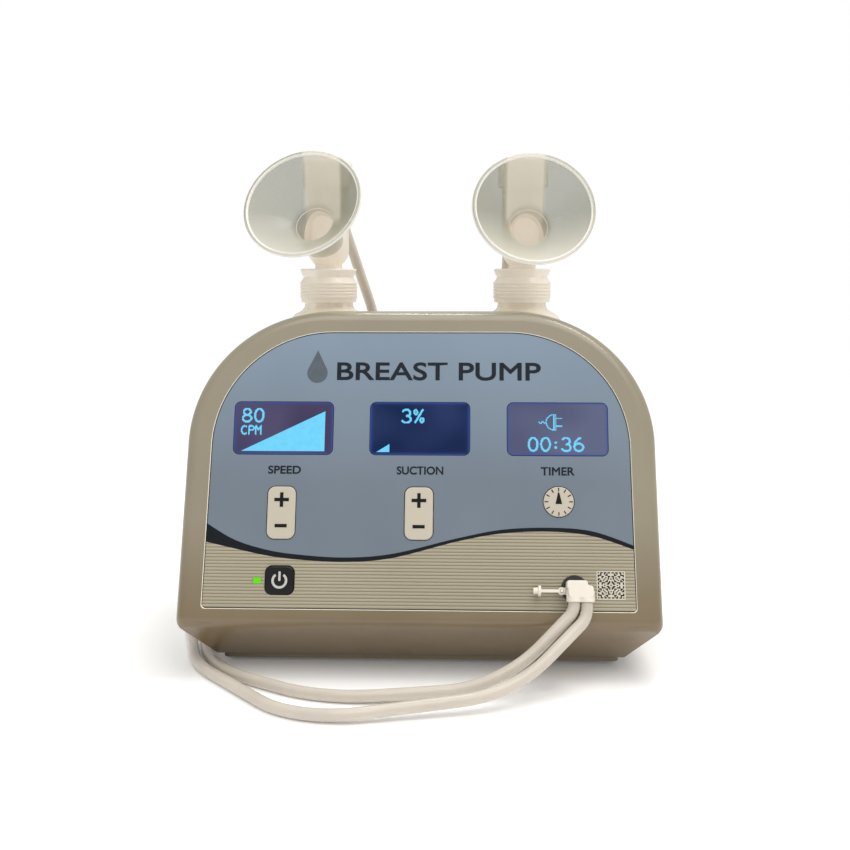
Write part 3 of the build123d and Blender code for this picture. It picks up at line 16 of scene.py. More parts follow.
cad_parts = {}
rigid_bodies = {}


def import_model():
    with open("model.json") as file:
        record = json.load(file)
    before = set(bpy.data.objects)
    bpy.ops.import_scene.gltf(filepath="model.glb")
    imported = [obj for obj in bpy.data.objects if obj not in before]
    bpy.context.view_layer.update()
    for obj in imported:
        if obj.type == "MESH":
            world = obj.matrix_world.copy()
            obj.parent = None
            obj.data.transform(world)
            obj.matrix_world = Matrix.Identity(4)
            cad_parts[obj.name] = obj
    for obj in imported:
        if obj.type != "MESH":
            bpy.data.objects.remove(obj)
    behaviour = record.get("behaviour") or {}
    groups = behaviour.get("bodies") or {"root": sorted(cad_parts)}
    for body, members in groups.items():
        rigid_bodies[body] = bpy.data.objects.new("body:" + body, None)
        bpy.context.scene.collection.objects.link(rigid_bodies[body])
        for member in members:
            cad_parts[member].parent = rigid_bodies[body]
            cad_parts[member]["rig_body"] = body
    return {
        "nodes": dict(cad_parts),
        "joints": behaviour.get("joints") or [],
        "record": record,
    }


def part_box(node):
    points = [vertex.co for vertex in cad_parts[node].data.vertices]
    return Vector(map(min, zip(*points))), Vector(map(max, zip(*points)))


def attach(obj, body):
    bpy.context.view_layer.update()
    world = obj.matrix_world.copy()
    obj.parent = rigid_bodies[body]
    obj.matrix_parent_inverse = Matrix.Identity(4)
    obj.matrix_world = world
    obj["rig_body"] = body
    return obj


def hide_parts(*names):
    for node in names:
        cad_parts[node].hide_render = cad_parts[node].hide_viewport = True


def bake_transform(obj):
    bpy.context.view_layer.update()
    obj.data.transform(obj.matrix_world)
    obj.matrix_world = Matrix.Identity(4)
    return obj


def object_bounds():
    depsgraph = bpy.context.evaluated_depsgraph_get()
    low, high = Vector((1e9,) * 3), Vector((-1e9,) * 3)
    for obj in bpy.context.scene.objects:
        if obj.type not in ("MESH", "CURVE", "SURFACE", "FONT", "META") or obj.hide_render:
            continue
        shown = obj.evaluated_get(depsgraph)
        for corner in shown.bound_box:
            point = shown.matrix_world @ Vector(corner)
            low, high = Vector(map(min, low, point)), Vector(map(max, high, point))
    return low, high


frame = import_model()
cad_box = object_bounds()

MM = 0.001
JOINTS = {joint["name"]: joint for joint in frame["joints"]}
SLOTS = {part["node"]: part["material_slot"] for part in frame["record"]["subparts"]}

# ---- the front panel's plane ----

ACROSS = Vector((1, 0, 0))
OUT = Vector(JOINTS["connector_pull"]["axis"]).normalized()
UP = OUT.cross(ACROSS)

RIM_WIDTH = 9.4                 # plastic rim below the printed sheet
SHEET_DEPTH = 0.6               # the sheet's surface lies this far below the rim


def plane_spans(node):
    """Lowest and highest reach of a CAD node along ACROSS, UP and OUT, in metres."""
    points = [v.co for v in frame["nodes"][node].data.vertices]
    spans = []
    for direction in (ACROSS, UP, OUT):
        reaches = [point.dot(direction) for point in points]
        spans.append((min(reaches), max(reaches)))
    return spans


_, sheet_up, sheet_out = plane_spans("panel_overlay")
PANEL_ORIGIN = UP * (sheet_up[0] - RIM_WIDTH * MM) + OUT * (sheet_out[1] + SHEET_DEPTH * MM)
PANEL = Matrix.Translation(PANEL_ORIGIN) @ Matrix((ACROSS, UP, OUT)).transposed().to_4x4()


def panel_box(node):
    """Where a CAD node lies on the panel, in millimetres."""
    across, up, out = [
        [(reach - PANEL_ORIGIN.dot(direction)) / MM for reach in span]
        for span, direction in zip(plane_spans(node), (ACROSS, UP, OUT))
    ]
    return SimpleNamespace(
        left=across[0], right=across[1], foot=up[0], front=out[1],
        middle=(sum(across) / 2, sum(up) / 2),
    )


SHEET = panel_box("panel_overlay")

# ---- materials ----

NOISE_MIDDLE = (0.3, 0.7)       # where nearly all of a noise texture's values lie
FACING_SPAN = (0.05, 0.85)      # from seen head on to seen edge on
EDGE_SPAN = (0.25, 0.8)         # over which a glow fades towards an edge
KIT_BODY_RADIUS = 17.6 * MM
COLLAR_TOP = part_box("left_bottle")[1].z + 9.8 * MM
CONE_FOOT = COLLAR_TOP + 4 * MM
BAND_SHARE = 0.6                # painted light band: how milky the cone is painted where the body lies behind it
BAND_EDGE = (11 * MM, 13.5 * MM)        # from the body's axis
BAND_RISE = (13 * MM, 19 * MM)          # above the flange's axis
CONE_SHADE = 32 * MM            # painted light: the cone is painted lighter at its foot and darker over this height
GLOW_RISE = 15 * MM             # the body's painted glow grows over this height
SOFT_EDGE = 0.5 * MM
EDGE_GLOW = 0.1                 # how much of a painted glow is left where plastic is seen edge on
MILKY_GLOW = 0.2                # painted glow of the kits' milky plastic, in place of light that comes through it


def srgb(red, green, blue):
    """A linear colour from screen values of 0 to 255."""
    linear = []
    for value in (red, green, blue):
        share = value / 255
        linear.append(share / 12.92 if share <= 0.04045 else ((share + 0.055) / 1.055) ** 2.4)
    return (*linear, 1.0)


def scaled(colour, factor):
    """A colour made darker or lighter."""
    return [min(1.0, part * factor) for part in colour[:3]] + [1.0]


class Finish:
    """A procedural material under construction: its node tree, its shader and its coordinates."""

    def __init__(self, name, roughness, **inputs):
        self.material = bpy.data.materials.new(name)
        self.material.use_nodes = True
        self.tree = self.material.node_tree
        self.shader = self.tree.nodes["Principled BSDF"]
        self.shade(Roughness=roughness, **inputs)
        self.place = self.node("ShaderNodeTexCoord").outputs["Object"]

    def feed(self, socket, value):
        """Gives a socket a plain value or another node's output."""
        if isinstance(value, bpy.types.NodeSocket):
            self.tree.links.new(value, socket)
        else:
            socket.default_value = value

    def shade(self, **inputs):
        """Feeds inputs of the shader, each named with _ for a space."""
        for socket, value in inputs.items():
            self.feed(self.shader.inputs[socket.replace("_", " ")], value)

    def node(self, kind, inputs=None, **settings):
        """A new node with these settings and with these inputs fed."""
        made = self.tree.nodes.new(kind)
        for name, value in settings.items():
            setattr(made, name, value)
        for socket, value in (inputs or {}).items():
            self.feed(made.inputs[socket], value)
        return made

    def noise(self, scale, detail=2.0, stretch=(1, 1, 1)):
        """Noise of 0 to 1 with this many features to the metre."""
        mapping = self.node("ShaderNodeMapping", {"Vector": self.place, "Scale": stretch})
        inputs = {"Vector": mapping.outputs["Vector"], "Scale": scale, "Detail": detail}
        return self.node("ShaderNodeTexNoise", inputs).outputs["Fac"]

    def drift(self, scale, detail=2.0):
        """Noise whose middle range is spread over 0 to 1."""
        return self.span(self.noise(scale, detail), 0, 1)

    def axes(self, source=None):
        """X, Y and Z of a point, which is the place being shaded unless another is given."""
        return self.node("ShaderNodeSeparateXYZ", {"Vector": source or self.place}).outputs

    def facing(self):
        """0 where the surface is seen head on, 1 where it is seen edge on."""
        return self.node("ShaderNodeLayerWeight", {"Blend": 0.35}).outputs["Facing"]

    def span(self, source, low, high, source_low=NOISE_MIDDLE[0], source_high=NOISE_MIDDLE[1]):
        """The source's middle range carried to low and high."""
        inputs = {
            "Value": source, "From Min": source_low, "From Max": source_high, "To Min": low,
            "To Max": high,
        }
        return self.node("ShaderNodeMapRange", inputs).outputs["Result"]

    def maths(self, operation, first, second=0.0):
        """The result of an operation on values, each a number or another node's output."""
        made = self.node("ShaderNodeMath", {0: first, 1: second}, operation=operation)
        return made.outputs["Value"]

    def blend(self, share, first, second):
        """A mix of two colours, each a plain colour or another node's output."""
        inputs = {"Factor": share, "A": first, "B": second}
        return self.node("ShaderNodeMix", inputs, data_type="RGBA").outputs["Result"]

    def bump(self, source, height):
        """Relief of this height, in metres."""
        inputs = {"Strength": 1.0, "Distance": height, "Height": source}
        self.shade(Normal=self.node("ShaderNodeBump", inputs).outputs["Normal"])
        return self.material

    def grained(self, roughness, grain, height):
        """Uneven gloss and a fine spark-eroded grain, as on moulded plastic."""
        gloss = self.span(self.noise(60, 4), roughness - 0.05, roughness + 0.07)
        self.shade(Roughness=gloss)
        return self.bump(self.noise(grain, 3), height)


def moulded(name, dark, light, roughness, grain=1400, height=0.02 * MM, **inputs):
    """Moulded plastic with a soft drift of colour."""
    finish = Finish(name, roughness, **inputs)
    finish.shade(Base_Color=finish.blend(finish.drift(14), dark, light))
    return finish.grained(roughness, grain, height)


def shaded_by_height(name, low, high, spans, roughness, grain=1400, height=0.02 * MM, **inputs):
    """Moulded plastic with light and shade painted by its height above the table: low and high are
    pairs of dark and light, and spans is where the change starts and ends, in millimetres."""
    finish = Finish(name, roughness, **inputs)
    rise = finish.span(finish.axes()["Z"], 0, 1, spans[0] * MM, spans[1] * MM)
    drift = finish.drift(14)
    below, above = finish.blend(drift, *low), finish.blend(drift, *high)
    finish.shade(Base_Color=finish.blend(rise, below, above))
    return finish.grained(roughness, grain, height)


def cleared(name, colour, facing_alpha, edge_alpha, roughness, cloud=0.06, painted_glow=0.0, **inputs):
    """See-through plastic, denser where it is seen edge on, with faint flow clouds in it, and a
    painted glow in place of the light that reaches the eye through it."""
    finish = Finish(name, roughness, Emission_Color=colour, **inputs)
    facing = finish.facing()
    finish.shade(
        Base_Color=finish.blend(finish.drift(35, 3), colour, scaled(colour, 1 + 2 * cloud)),
        Emission_Strength=finish.span(facing, painted_glow, EDGE_GLOW * painted_glow, *EDGE_SPAN),
        Alpha=finish.span(facing, facing_alpha, edge_alpha, *FACING_SPAN),
    )
    return finish.bump(finish.noise(420, 2), 0.012 * MM)


def milky_share(finish, axes):
    axis = Vector(JOINTS["right_flange_turn"]["pos_m"])
    across = finish.maths("SUBTRACT", finish.maths("ABSOLUTE", axes["X"]), axis.x)
    along = finish.maths("SUBTRACT", axes["Y"], axis.y)
    squares = [finish.maths("MULTIPLY", side, side) for side in (across, along)]
    reach = finish.maths("SQRT", finish.maths("ADD", *squares))
    body = finish.span(reach, 1, 0, KIT_BODY_RADIUS - SOFT_EDGE, KIT_BODY_RADIUS)
    collar = finish.span(axes["Z"], 1, 0, COLLAR_TOP, COLLAR_TOP + SOFT_EDGE)
    # painted light band: the cone is painted milkier and lighter where the body lies behind it
    beside = finish.span(finish.maths("ABSOLUTE", across), BAND_SHARE, 0, *BAND_EDGE)
    above = finish.span(axes["Z"], 0, 1, axis.z + BAND_RISE[0], axis.z + BAND_RISE[1])
    band = finish.maths("MULTIPLY", beside, above)
    return finish.maths("MAXIMUM", finish.maths("MAXIMUM", body, collar), band)


def frosted_kit(name):
    """Frosted plastic of the collection kits: a greyish see-through cone, painted lighter towards
    its foot, and a milkier, warmer body with a painted glow in place of light coming through it."""
    finish = Finish(name, 0.28)
    axes = finish.axes()
    share = milky_share(finish, axes)
    # painted light: the cone is lighter towards its foot and darker higher up
    sunk = finish.span(axes["Z"], 1, 0, CONE_FOOT, CONE_FOOT + CONE_SHADE)
    cone = finish.blend(sunk, srgb(150, 149, 128), srgb(214, 211, 199))
    shade = finish.blend(share, cone, srgb(232, 224, 211))
    # painted glow of the milky body, growing with height
    lit = finish.span(axes["Z"], MILKY_GLOW, 1.15 * MILKY_GLOW, CONE_FOOT, CONE_FOOT + GLOW_RISE)
    facing = finish.facing()
    inner = finish.span(facing, 1, EDGE_GLOW, *EDGE_SPAN)
    painted_glow = finish.maths("MULTIPLY", finish.maths("MULTIPLY", lit, share), inner)
    clear = finish.span(facing, 0.46, 0.86, *FACING_SPAN)
    milky = finish.span(facing, 0.66, 0.92, *FACING_SPAN)
    step = finish.maths("MULTIPLY", share, finish.maths("SUBTRACT", milky, clear))
    alpha = finish.maths("ADD", clear, step)
    finish.shade(Base_Color=shade, Emission_Color=shade, Emission_Strength=painted_glow, Alpha=alpha)
    return finish.bump(finish.noise(420, 2), 0.012 * MM)


def metal(name, colour, roughness, stretch=(1, 1, 1)):
    """Metal with fine tool marks, drawn out along one direction when stretch says so."""
    finish = Finish(name, roughness, Metallic=1.0)
    marks = finish.noise(900, 2, stretch)
    finish.shade(
        Base_Color=finish.blend(finish.drift(60, 4), scaled(colour, 0.82), colour),
        Roughness=finish.span(marks, roughness - 0.06, roughness + 0.1),
    )
    return finish.bump(marks, 0.008 * MM)


def ink(name, colour, roughness=0.45):
    """Printing ink: nearly even, with the slight unevenness of a screen print."""
    finish = Finish(name, roughness, Specular_IOR_Level=0.2)
    paler = [part * 1.12 + 0.002 for part in colour[:3]] + [1.0]
    finish.shade(Base_Color=finish.blend(finish.drift(220, 3), colour, paler))
    return finish.bump(finish.noise(1500, 1), 0.006 * MM)


def glowing(name, colour, strength):
    """A lit surface that keeps some of its own colour under room light."""
    finish = Finish(
        name, 0.35, Specular_IOR_Level=0.2, Emission_Strength=strength,
        Base_Color=scaled(colour, 0.15)
    )
    drift = finish.drift(300, 1)
    finish.shade(Emission_Color=finish.blend(drift, colour, scaled(colour, 1.1)))
    return finish.material


def circuit_board(name):
    """Green solder mask over faint copper tracks."""
    finish = Finish(name, 0.35)
    tracks = finish.node("ShaderNodeTexBrick", {
        "Vector": finish.place, "Scale": 160, "Mortar Size": 0.03, "Mortar": srgb(60, 130, 80),
        "Color1": srgb(18, 82, 48), "Color2": srgb(24, 94, 54),
    })
    finish.shade(Base_Color=tracks.outputs["Color"])
    return finish.bump(tracks.outputs["Fac"], 0.02 * MM)


SLOT_LOOKS = {
    # painted shade and warm bounce light: the housing is painted browner and darker low down and
    # lighter higher up
    "housing_taupe": shaded_by_height(
        "housing_plastic", (srgb(108, 89, 59), srgb(114, 95, 65)),
        (srgb(134, 126, 105), srgb(141, 133, 112)), (25, 95), 0.36, Coat_Weight=0.5,
        Coat_Roughness=0.18
    ),
    "base_taupe": moulded("base_plastic", srgb(122, 111, 90), srgb(128, 117, 96), 0.5),
    # painted sheen: the sheet is painted lighter towards its top
    "overlay_blue": shaded_by_height(
        "panel_sheet", (srgb(105, 116, 128), srgb(110, 121, 133)),
        (srgb(121, 138, 155), srgb(126, 143, 160)), (115, 205), 0.38, grain=2600,
        height=0.008 * MM, Specular_IOR_Level=0.35
    ),
    "window_clear": cleared(
        "window_plate", srgb(120, 130, 170), 0.06, 0.5, 0.08, 0.0, Specular_IOR_Level=0.15
    ),
    "display_blue": moulded("display_body", srgb(30, 36, 70), srgb(36, 42, 80), 0.3),
    "key_cream": moulded("key_plastic", srgb(186, 177, 160), srgb(193, 184, 168), 0.42),
    "button_black": moulded(
        "button_plastic", srgb(14, 15, 18), srgb(20, 21, 25), 0.3, Specular_IOR_Level=0.3
    ),
    "led_green": glowing("led_lens", srgb(104, 220, 20), 0.8),
    "port_black": moulded("port_plastic", srgb(28, 28, 30), srgb(36, 36, 38), 0.45),
    "connector_white": moulded("connector_vinyl", srgb(226, 217, 204), srgb(231, 223, 211), 0.4),
    "silicone_white": moulded(
        "silicone", srgb(222, 220, 212), srgb(232, 230, 222), 0.5, Subsurface_Weight=0.3
    ),
    "feet_rubber": moulded("rubber", srgb(34, 34, 34), srgb(44, 43, 42), 0.8, grain=900),
    "screw_steel": metal("zinc_screws", srgb(188, 188, 186), 0.35),
    "shaft_steel": metal("ground_steel", srgb(200, 200, 202), 0.22, (1, 1, 12)),
    "board_green": circuit_board("circuit_board"),
    "electronics_dark": moulded("component_plastic", srgb(42, 42, 46), srgb(54, 54, 58), 0.5),
    "gear_acetal": moulded(
        "acetal", srgb(226, 222, 208), srgb(236, 233, 221), 0.35, Subsurface_Weight=0.15
    ),
    "bush_brass": metal("sintered_bronze", srgb(196, 150, 84), 0.45),
    "cylinder_acetal": moulded("grey_acetal", srgb(110, 116, 124), srgb(122, 128, 136), 0.35),
    "bracket_steel": metal("zinc_sheet", srgb(168, 174, 178), 0.4, (1, 6, 1)),
    "battery_blue": moulded("battery_sleeve", srgb(38, 62, 118), srgb(46, 72, 132), 0.35),
    "flange_frosted": frosted_kit("frosted_flange"),
    # painted glow: the bottles glow in place of light coming through them
    "bottle_clear": cleared("clear_bottle", srgb(226, 218, 202), 0.36, 0.85, 0.12, painted_glow=0.25),
    "tube_silicone": cleared("tube_silicone", srgb(214, 205, 192), 0.74, 0.92, 0.14),
}
# painted glow: lighter plastic that glows, for the bright lines along the flange lips and tunnel
# rings
RIM_PLASTIC = cleared("rim_plastic", srgb(228, 226, 218), 0.7, 0.95, 0.18, painted_glow=0.25)


def paint(obj, material):
    """Gives a piece a material."""
    obj.data.materials.clear()
    obj.data.materials.append(material)


def dress(obj, slot):
    """Gives a piece the finish of a record slot."""
    paint(obj, SLOT_LOOKS[slot])


# ---- mesh helpers ----

WELD = 0.002 * MM
SHEET_FRONT = SHEET.front
SUNK = 0.02                     # how far a layer on the sheet reaches into it


def smooth_by_angle(mesh, degrees=32):
    """Smooth shading that keeps the edges sharper than this."""
    for polygon in mesh.polygons:
        polygon.use_smooth = True
    mesh.set_sharp_from_angle(angle=math.radians(degrees))


def opened(mesh):
    """A mesh's shape, to be worked on and then given to mesh_of."""
    work = bmesh.new()
    work.from_mesh(mesh)
    return work


def mesh_of(work, mesh=None):
    """Puts work into a mesh, which is a new one unless it is given."""
    mesh = mesh or bpy.data.meshes.new("work")
    work.to_mesh(mesh)
    work.free()
    return mesh


def evaluated_mesh(obj):
    """A new mesh of an object with its modifiers applied."""
    bpy.context.view_layer.update()
    evaluated = obj.evaluated_get(bpy.context.evaluated_depsgraph_get())
    return bpy.data.meshes.new_from_object(evaluated)


def to_mesh(carrier):
    """The welded mesh of a curve or text object, which is then removed."""
    bpy.context.scene.collection.objects.link(carrier)
    mesh = evaluated_mesh(carrier)
    bpy.data.objects.remove(carrier)
    work = opened(mesh)
    bmesh.ops.remove_doubles(work, verts=work.verts, dist=WELD)
    bmesh.ops.dissolve_degenerate(work, edges=work.edges, dist=WELD)
    bmesh.ops.recalc_face_normals(work, faces=work.faces)
    mesh.materials.clear()
    return mesh_of(work, mesh)


def add_piece(name, mesh, body, place=None):
    """Links a mesh as a piece that rides on a CAD body."""
    mesh.name = name
    piece = bpy.data.objects.new(name, mesh)
    bpy.context.scene.collection.objects.link(piece)
    if place is not None:
        piece.matrix_world = place
    smooth_by_angle(mesh)
    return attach(piece, body)


def panel_piece(name, outlines, back, front, body="root"):
    """A plate on the front panel, between two heights above its face. Each outline is a closed list
    of (across, up) points, and one that lies inside another is a hole."""
    curve = bpy.data.curves.new("outline", "CURVE")
    curve.dimensions = "2D"
    curve.fill_mode = "BOTH"
    curve.extrude = (front - back) / 2 * MM
    for outline in outlines:
        spline = curve.splines.new("POLY")
        spline.points.add(len(outline) - 1)
        for point, (across, up) in zip(spline.points, outline):
            point.co = (across * MM, up * MM, 0, 1)
        spline.use_cyclic_u = True
    mesh = to_mesh(bpy.data.objects.new("outline", curve))
    mesh.transform(Matrix.Translation((0, 0, (front + back) / 2 * MM)))
    return add_piece(name, mesh, body, PANEL)


def printed(name, outlines, height, material):
    """A layer of ink or film on the panel's sheet, sunk a little into it."""
    piece = panel_piece(name, outlines, SHEET_FRONT - SUNK, SHEET_FRONT + height)
    paint(piece, material)


def rectangle(middle, width, height):
    x, y = middle
    return [
        (x - width / 2, y - height / 2), (x + width / 2, y - height / 2),
        (x + width / 2, y + height / 2), (x - width / 2, y + height / 2),
    ]


def arc(middle, radius, start, end, steps=24):
    """Points on an arc; radius is a number or a pair, and the angles are in degrees."""
    across, up = radius if isinstance(radius, tuple) else (radius, radius)
    angles = [math.radians(start + (end - start) * step / steps) for step in range(steps + 1)]
    return [(middle[0] + across * math.cos(a), middle[1] + up * math.sin(a)) for a in angles]


def rounded(middle, width, height, radius):
    """A rectangle with round corners."""
    outline = []
    for quarter, (side, rise) in enumerate(((1, 1), (-1, 1), (-1, -1), (1, -1))):
        corner = (
            middle[0] + side * (width / 2 - radius), middle[1] + rise * (height / 2 - radius)
        )
        outline += arc(corner, radius, 90 * quarter, 90 * quarter + 90, 8)
    return outline


def blocks_mesh(spots, size, height):
    """Low square blocks of this size and height, each about a spot (across, up, out)."""
    work = bmesh.new()
    for spot in spots:
        matrix = Matrix.Translation(Vector(spot) * MM)
        matrix @= Matrix.Diagonal((size * MM, size * MM, height * MM, 1))
        bmesh.ops.create_cube(work, size=1.0, matrix=matrix)
    return mesh_of(work)


def curve_through(points, steps=12):
    """A smooth line through the points, as a Catmull-Rom spline."""
    ends = [points[0], *points, points[-1]]
    line = []
    for before, start, end, after in zip(ends, ends[1:], ends[2:], ends[3:]):
        for step in range(steps):
            t = step / steps
            line.append(tuple(
                0.5 * (2 * b + (c - a) * t + (2 * a - 5 * b + 4 * c - d) * t * t
                       + (3 * b - a - 3 * c + d) * t ** 3)
                for a, b, c, d in zip(before, start, end, after)
            ))
    return line + [points[-1]]


def height_at(line, across):
    """How far up a line that runs from left to right is at this place."""
    for (x0, y0), (x1, y1) in zip(line, line[1:]):
        if x0 <= across <= x1:
            return y0 + (y1 - y0) * (across - x0) / max(x1 - x0, 1e-9)
    return line[0][1] if across < line[0][0] else line[-1][1]


# ---- printed sheet: swoosh and ribbed field ----

INK_HEIGHT = 0.12               # raised print
SHEET_TAPER = 3.4 / 190         # how fast the panel's sides lean inwards

SWOOSH_TOP = (
    (-127.5, 60), (-109.7, 49.8), (-90.4, 43.9), (-71.3, 41.1), (-43, 39.6), (-14.8, 42.1),
    (22.7, 51.4), (50, 56.8), (79, 58.1), (103, 56), (127.5, 47.5),
)
SWOOSH_FOOT = (
    (-127.5, 48.6), (-109.4, 44.5), (-90.2, 40.5), (-71.2, 38.2), (-43, 37), (-14.7, 39.7),
    (22.8, 49.6), (50, 54.6), (79, 55.8), (103, 53.2), (127.5, 45.2),
)
RIB_PITCH = 1.95
RIB_WIDTH = 1.4
RIB_HEIGHT = 0.28
RIB_REACH = 60                  # no rib starts above this
RIB_MARGIN = 0.9                # from the sheet's foot to the first rib
RIB_GAP = 0.4                   # between a rib's ends and the sheet's sides
RIB_LEAST = 0.25                # a lower rib is left out
RIB_STEP = 1.5
RIB_FINE_STEP = 0.3

# Openings in the ribbed field, each as (middle, width, height, corner radius).
port_box = panel_box("vacuum_port")
PORT_RING = port_box.right - port_box.left + 0.2
FIELD_OPENINGS = (
    (panel_box("power_button").middle, 17.7, 17.4, 4.3),
    (panel_box("power_led").middle, 4.9, 4.2, 0.8),
    (port_box.middle, PORT_RING, PORT_RING, PORT_RING / 2 - 0.001),
)


def sheet_side(up):
    """Half the printed sheet's width at this height."""
    return SHEET.right - SHEET_TAPER * (up - SHEET.foot)


def clipped(line):
    """The line cut off at the sheet's sides."""
    inside = [(x, y) for x, y in line if abs(x) < sheet_side(y) - 0.3]
    left_up, right_up = height_at(line, -sheet_side(50)), height_at(line, sheet_side(50))
    return [(-sheet_side(left_up), left_up), *inside, (sheet_side(right_up), right_up)]


swoosh_top = clipped(curve_through(SWOOSH_TOP))
swoosh_foot = clipped(curve_through(SWOOSH_FOOT))


def build_swoosh():
    """The dark band that sweeps across the panel."""
    outline = swoosh_foot + list(reversed(swoosh_top))
    printed("panel_swoosh", [outline], INK_HEIGHT, ink("swoosh_ink", srgb(12, 17, 24), 0.35))


def opening_span(opening, across):
    """(foot, top) of a round-cornered opening on this upright line, or None beside it."""
    middle, width, height, radius = opening
    off = abs(across - middle[0])
    if off >= width / 2:
        return None
    into_corner = max(0.0, off - (width / 2 - radius))
    half = height / 2 - radius + math.sqrt(radius ** 2 - into_corner ** 2)
    return middle[1] - half, middle[1] + half


def rib_stations():
    """Places across the panel where a rib's outline is set, closer together at the openings."""
    stations = {round(RIB_STEP * step, 3) for step in range(-85, 86)}
    for middle, width, _, _ in FIELD_OPENINGS:
        count = int((width + 1) / RIB_FINE_STEP)
        stations |= {
            round(middle[0] - (width + 1) / 2 + RIB_FINE_STEP * step, 3) for step in range(count + 1)
        }
    return sorted(stations)


def rib_strips():
    """Each unbroken stretch of each rib, as a list of (across, foot, top)."""
    stations = rib_stations()
    strips = []
    for row in range(int((RIB_REACH - SHEET.foot) / RIB_PITCH)):
        low = SHEET.foot + RIB_MARGIN + row * RIB_PITCH
        side = sheet_side(low) - RIB_GAP
        strip = []
        for across in [-side, *(x for x in stations if abs(x) < side), side]:
            foot, top = low, min(low + RIB_WIDTH, height_at(swoosh_foot, across) - 0.05)
            for opening in FIELD_OPENINGS:
                span = opening_span(opening, across)
                if span and span[0] < top and span[1] > foot:
                    if span[0] - foot > top - span[1]:
                        top = span[0]
                    else:
                        foot = span[1]
            if top - foot > RIB_LEAST:
                strip.append((across, foot, top))
            else:
                strips.append(strip)
                strip = []
        strips.append(strip)
    return [strip for strip in strips if len(strip) > 1]


def build_ribbed_field():
    """Fine ribs under the swoosh: each is a low bar with a crowned top, over a darker ground."""
    foot = SHEET.foot + 0.25
    outline = [(-sheet_side(foot), foot), (sheet_side(foot), foot), *reversed(swoosh_foot)]
    holes = [rounded(*opening) for opening in FIELD_OPENINGS]
    look = moulded("ground_ink", srgb(130, 121, 98), srgb(136, 127, 104), 0.5)
    printed("ribbed_field_ground", [outline, *holes], 0.04, look)

    work = bmesh.new()
    for strip in rib_strips():
        add_rib(work, strip)
    bmesh.ops.recalc_face_normals(work, faces=work.faces)
    ribs = add_piece("ribbed_field", mesh_of(work), "root", PANEL)
    look = moulded("rib_plastic", srgb(157, 149, 127), srgb(163, 155, 133), 0.4)
    paint(ribs, look)


def add_rib(work, strip):
    """Adds one closed bar: flat back and a crowned front."""
    back, front = SHEET_FRONT, SHEET_FRONT + RIB_HEIGHT
    rings = []
    for across, foot, top in strip:
        width = top - foot
        ring = (
            (foot, back), (top, back), (top, front - 0.1), (foot + 0.8 * width, front),
            (foot + 0.2 * width, front), (foot, front - 0.1),
        )
        rings.append([work.verts.new((across * MM, up * MM, out * MM)) for up, out in ring])
    for first, second in zip(rings, rings[1:]):
        for side in range(6):
            after = (side + 1) % 6
            work.faces.new((first[side], first[after], second[after], second[side]))
    work.faces.new(rings[0])
    work.faces.new(list(reversed(rings[-1])))


def sheet_outline():
    """The printed sheet's outline as (across, up) points: the hull of its CAD mesh."""
    points = set()
    for vertex in frame["nodes"]["panel_overlay"].data.vertices:
        offset = (vertex.co - PANEL_ORIGIN) / MM
        points.add((round(offset.dot(ACROSS), 2), round(offset.dot(UP), 2)))
    ordered = sorted(points)
    return [ordered[index] for index in convex_hull_2d(ordered)]


def grown(outline, amount):
    """An outline that runs counter-clockwise, with each point moved outwards."""
    moved = []
    for before, point, after in zip(outline[-1:] + outline[:-1], outline, outline[1:] + outline[:1]):
        normals = [
            Vector((end[1] - start[1], start[0] - end[0])).normalized()
            for start, end in ((before, point), (point, after))
        ]
        outward = (normals[0] + normals[1]).normalized()
        reach = amount / max(outward.dot(normals[0]), 0.5)
        moved.append((point[0] + outward.x * reach, point[1] + outward.y * reach))
    return moved


def ring_mesh(outline, section):
    """A closed ring that follows an outline; section is a list of (outwards, out of the face)."""
    work = bmesh.new()
    loops = []
    for outwards, out in section:
        loop = [work.verts.new((x * MM, y * MM, out * MM)) for x, y in grown(outline, outwards)]
        loops.append(loop)
    for loop, following in zip(loops, loops[1:] + loops[:1]):
        for index in range(len(outline)):
            after = (index + 1) % len(outline)
            work.faces.new((loop[index], loop[after], following[after], following[index]))
    bmesh.ops.recalc_face_normals(work, faces=work.faces)
    return mesh_of(work)


def build_sheet_edge():
    """A dark line painted round the sheet as its recess's shadow, and the bevel that leads down to
    it from the rim, with painted light and shade.
    """
    outline = sheet_outline()
    front = SHEET_FRONT
    # painted shadow: a dark line round the sheet's edge where its recess lies in shade
    border = rectangle((-0.285, front + 0.015), 0.53, 0.07)
    line = add_piece("sheet_edge_shadow", ring_mesh(outline, border), "root", PANEL)
    paint(line, ink("border_ink_and_shadow", srgb(38, 42, 46)))
    slope = [(0.55, -SUNK), (0.02, front + 0.06), (0.02, front - 0.1), (0.55, front - 0.1)]
    bevel = add_piece("recess_bevel", ring_mesh(outline, slope), "root", PANEL)
    # painted highlight and shade: the bevel is painted light at its foot and dark higher up
    low = (srgb(234, 226, 208), srgb(240, 232, 214))
    high = (srgb(132, 124, 103), srgb(140, 132, 111))
    paint(bevel, shaded_by_height("bevel_plastic", low, high, (50, 120), 0.3))


# ---- lettering and symbols ----

LABELS = {"SPEED": (-81.0, 19.8), "SUCTION": (0.4, 27.9), "TIMER": (82.4, 19.9)}    # across, width
LABEL_HEIGHT = 5.0
LABEL_UP = 89.3
TITLE_FOOT = (11, 147.2)
TITLE_SIZE = (124, 11.4)
DROP_MIDDLE = (-63, 151.8)
PRINT = ink("print_ink", srgb(16, 24, 34))
SYMBOL_INK = ink("symbol_ink", srgb(8, 9, 11))


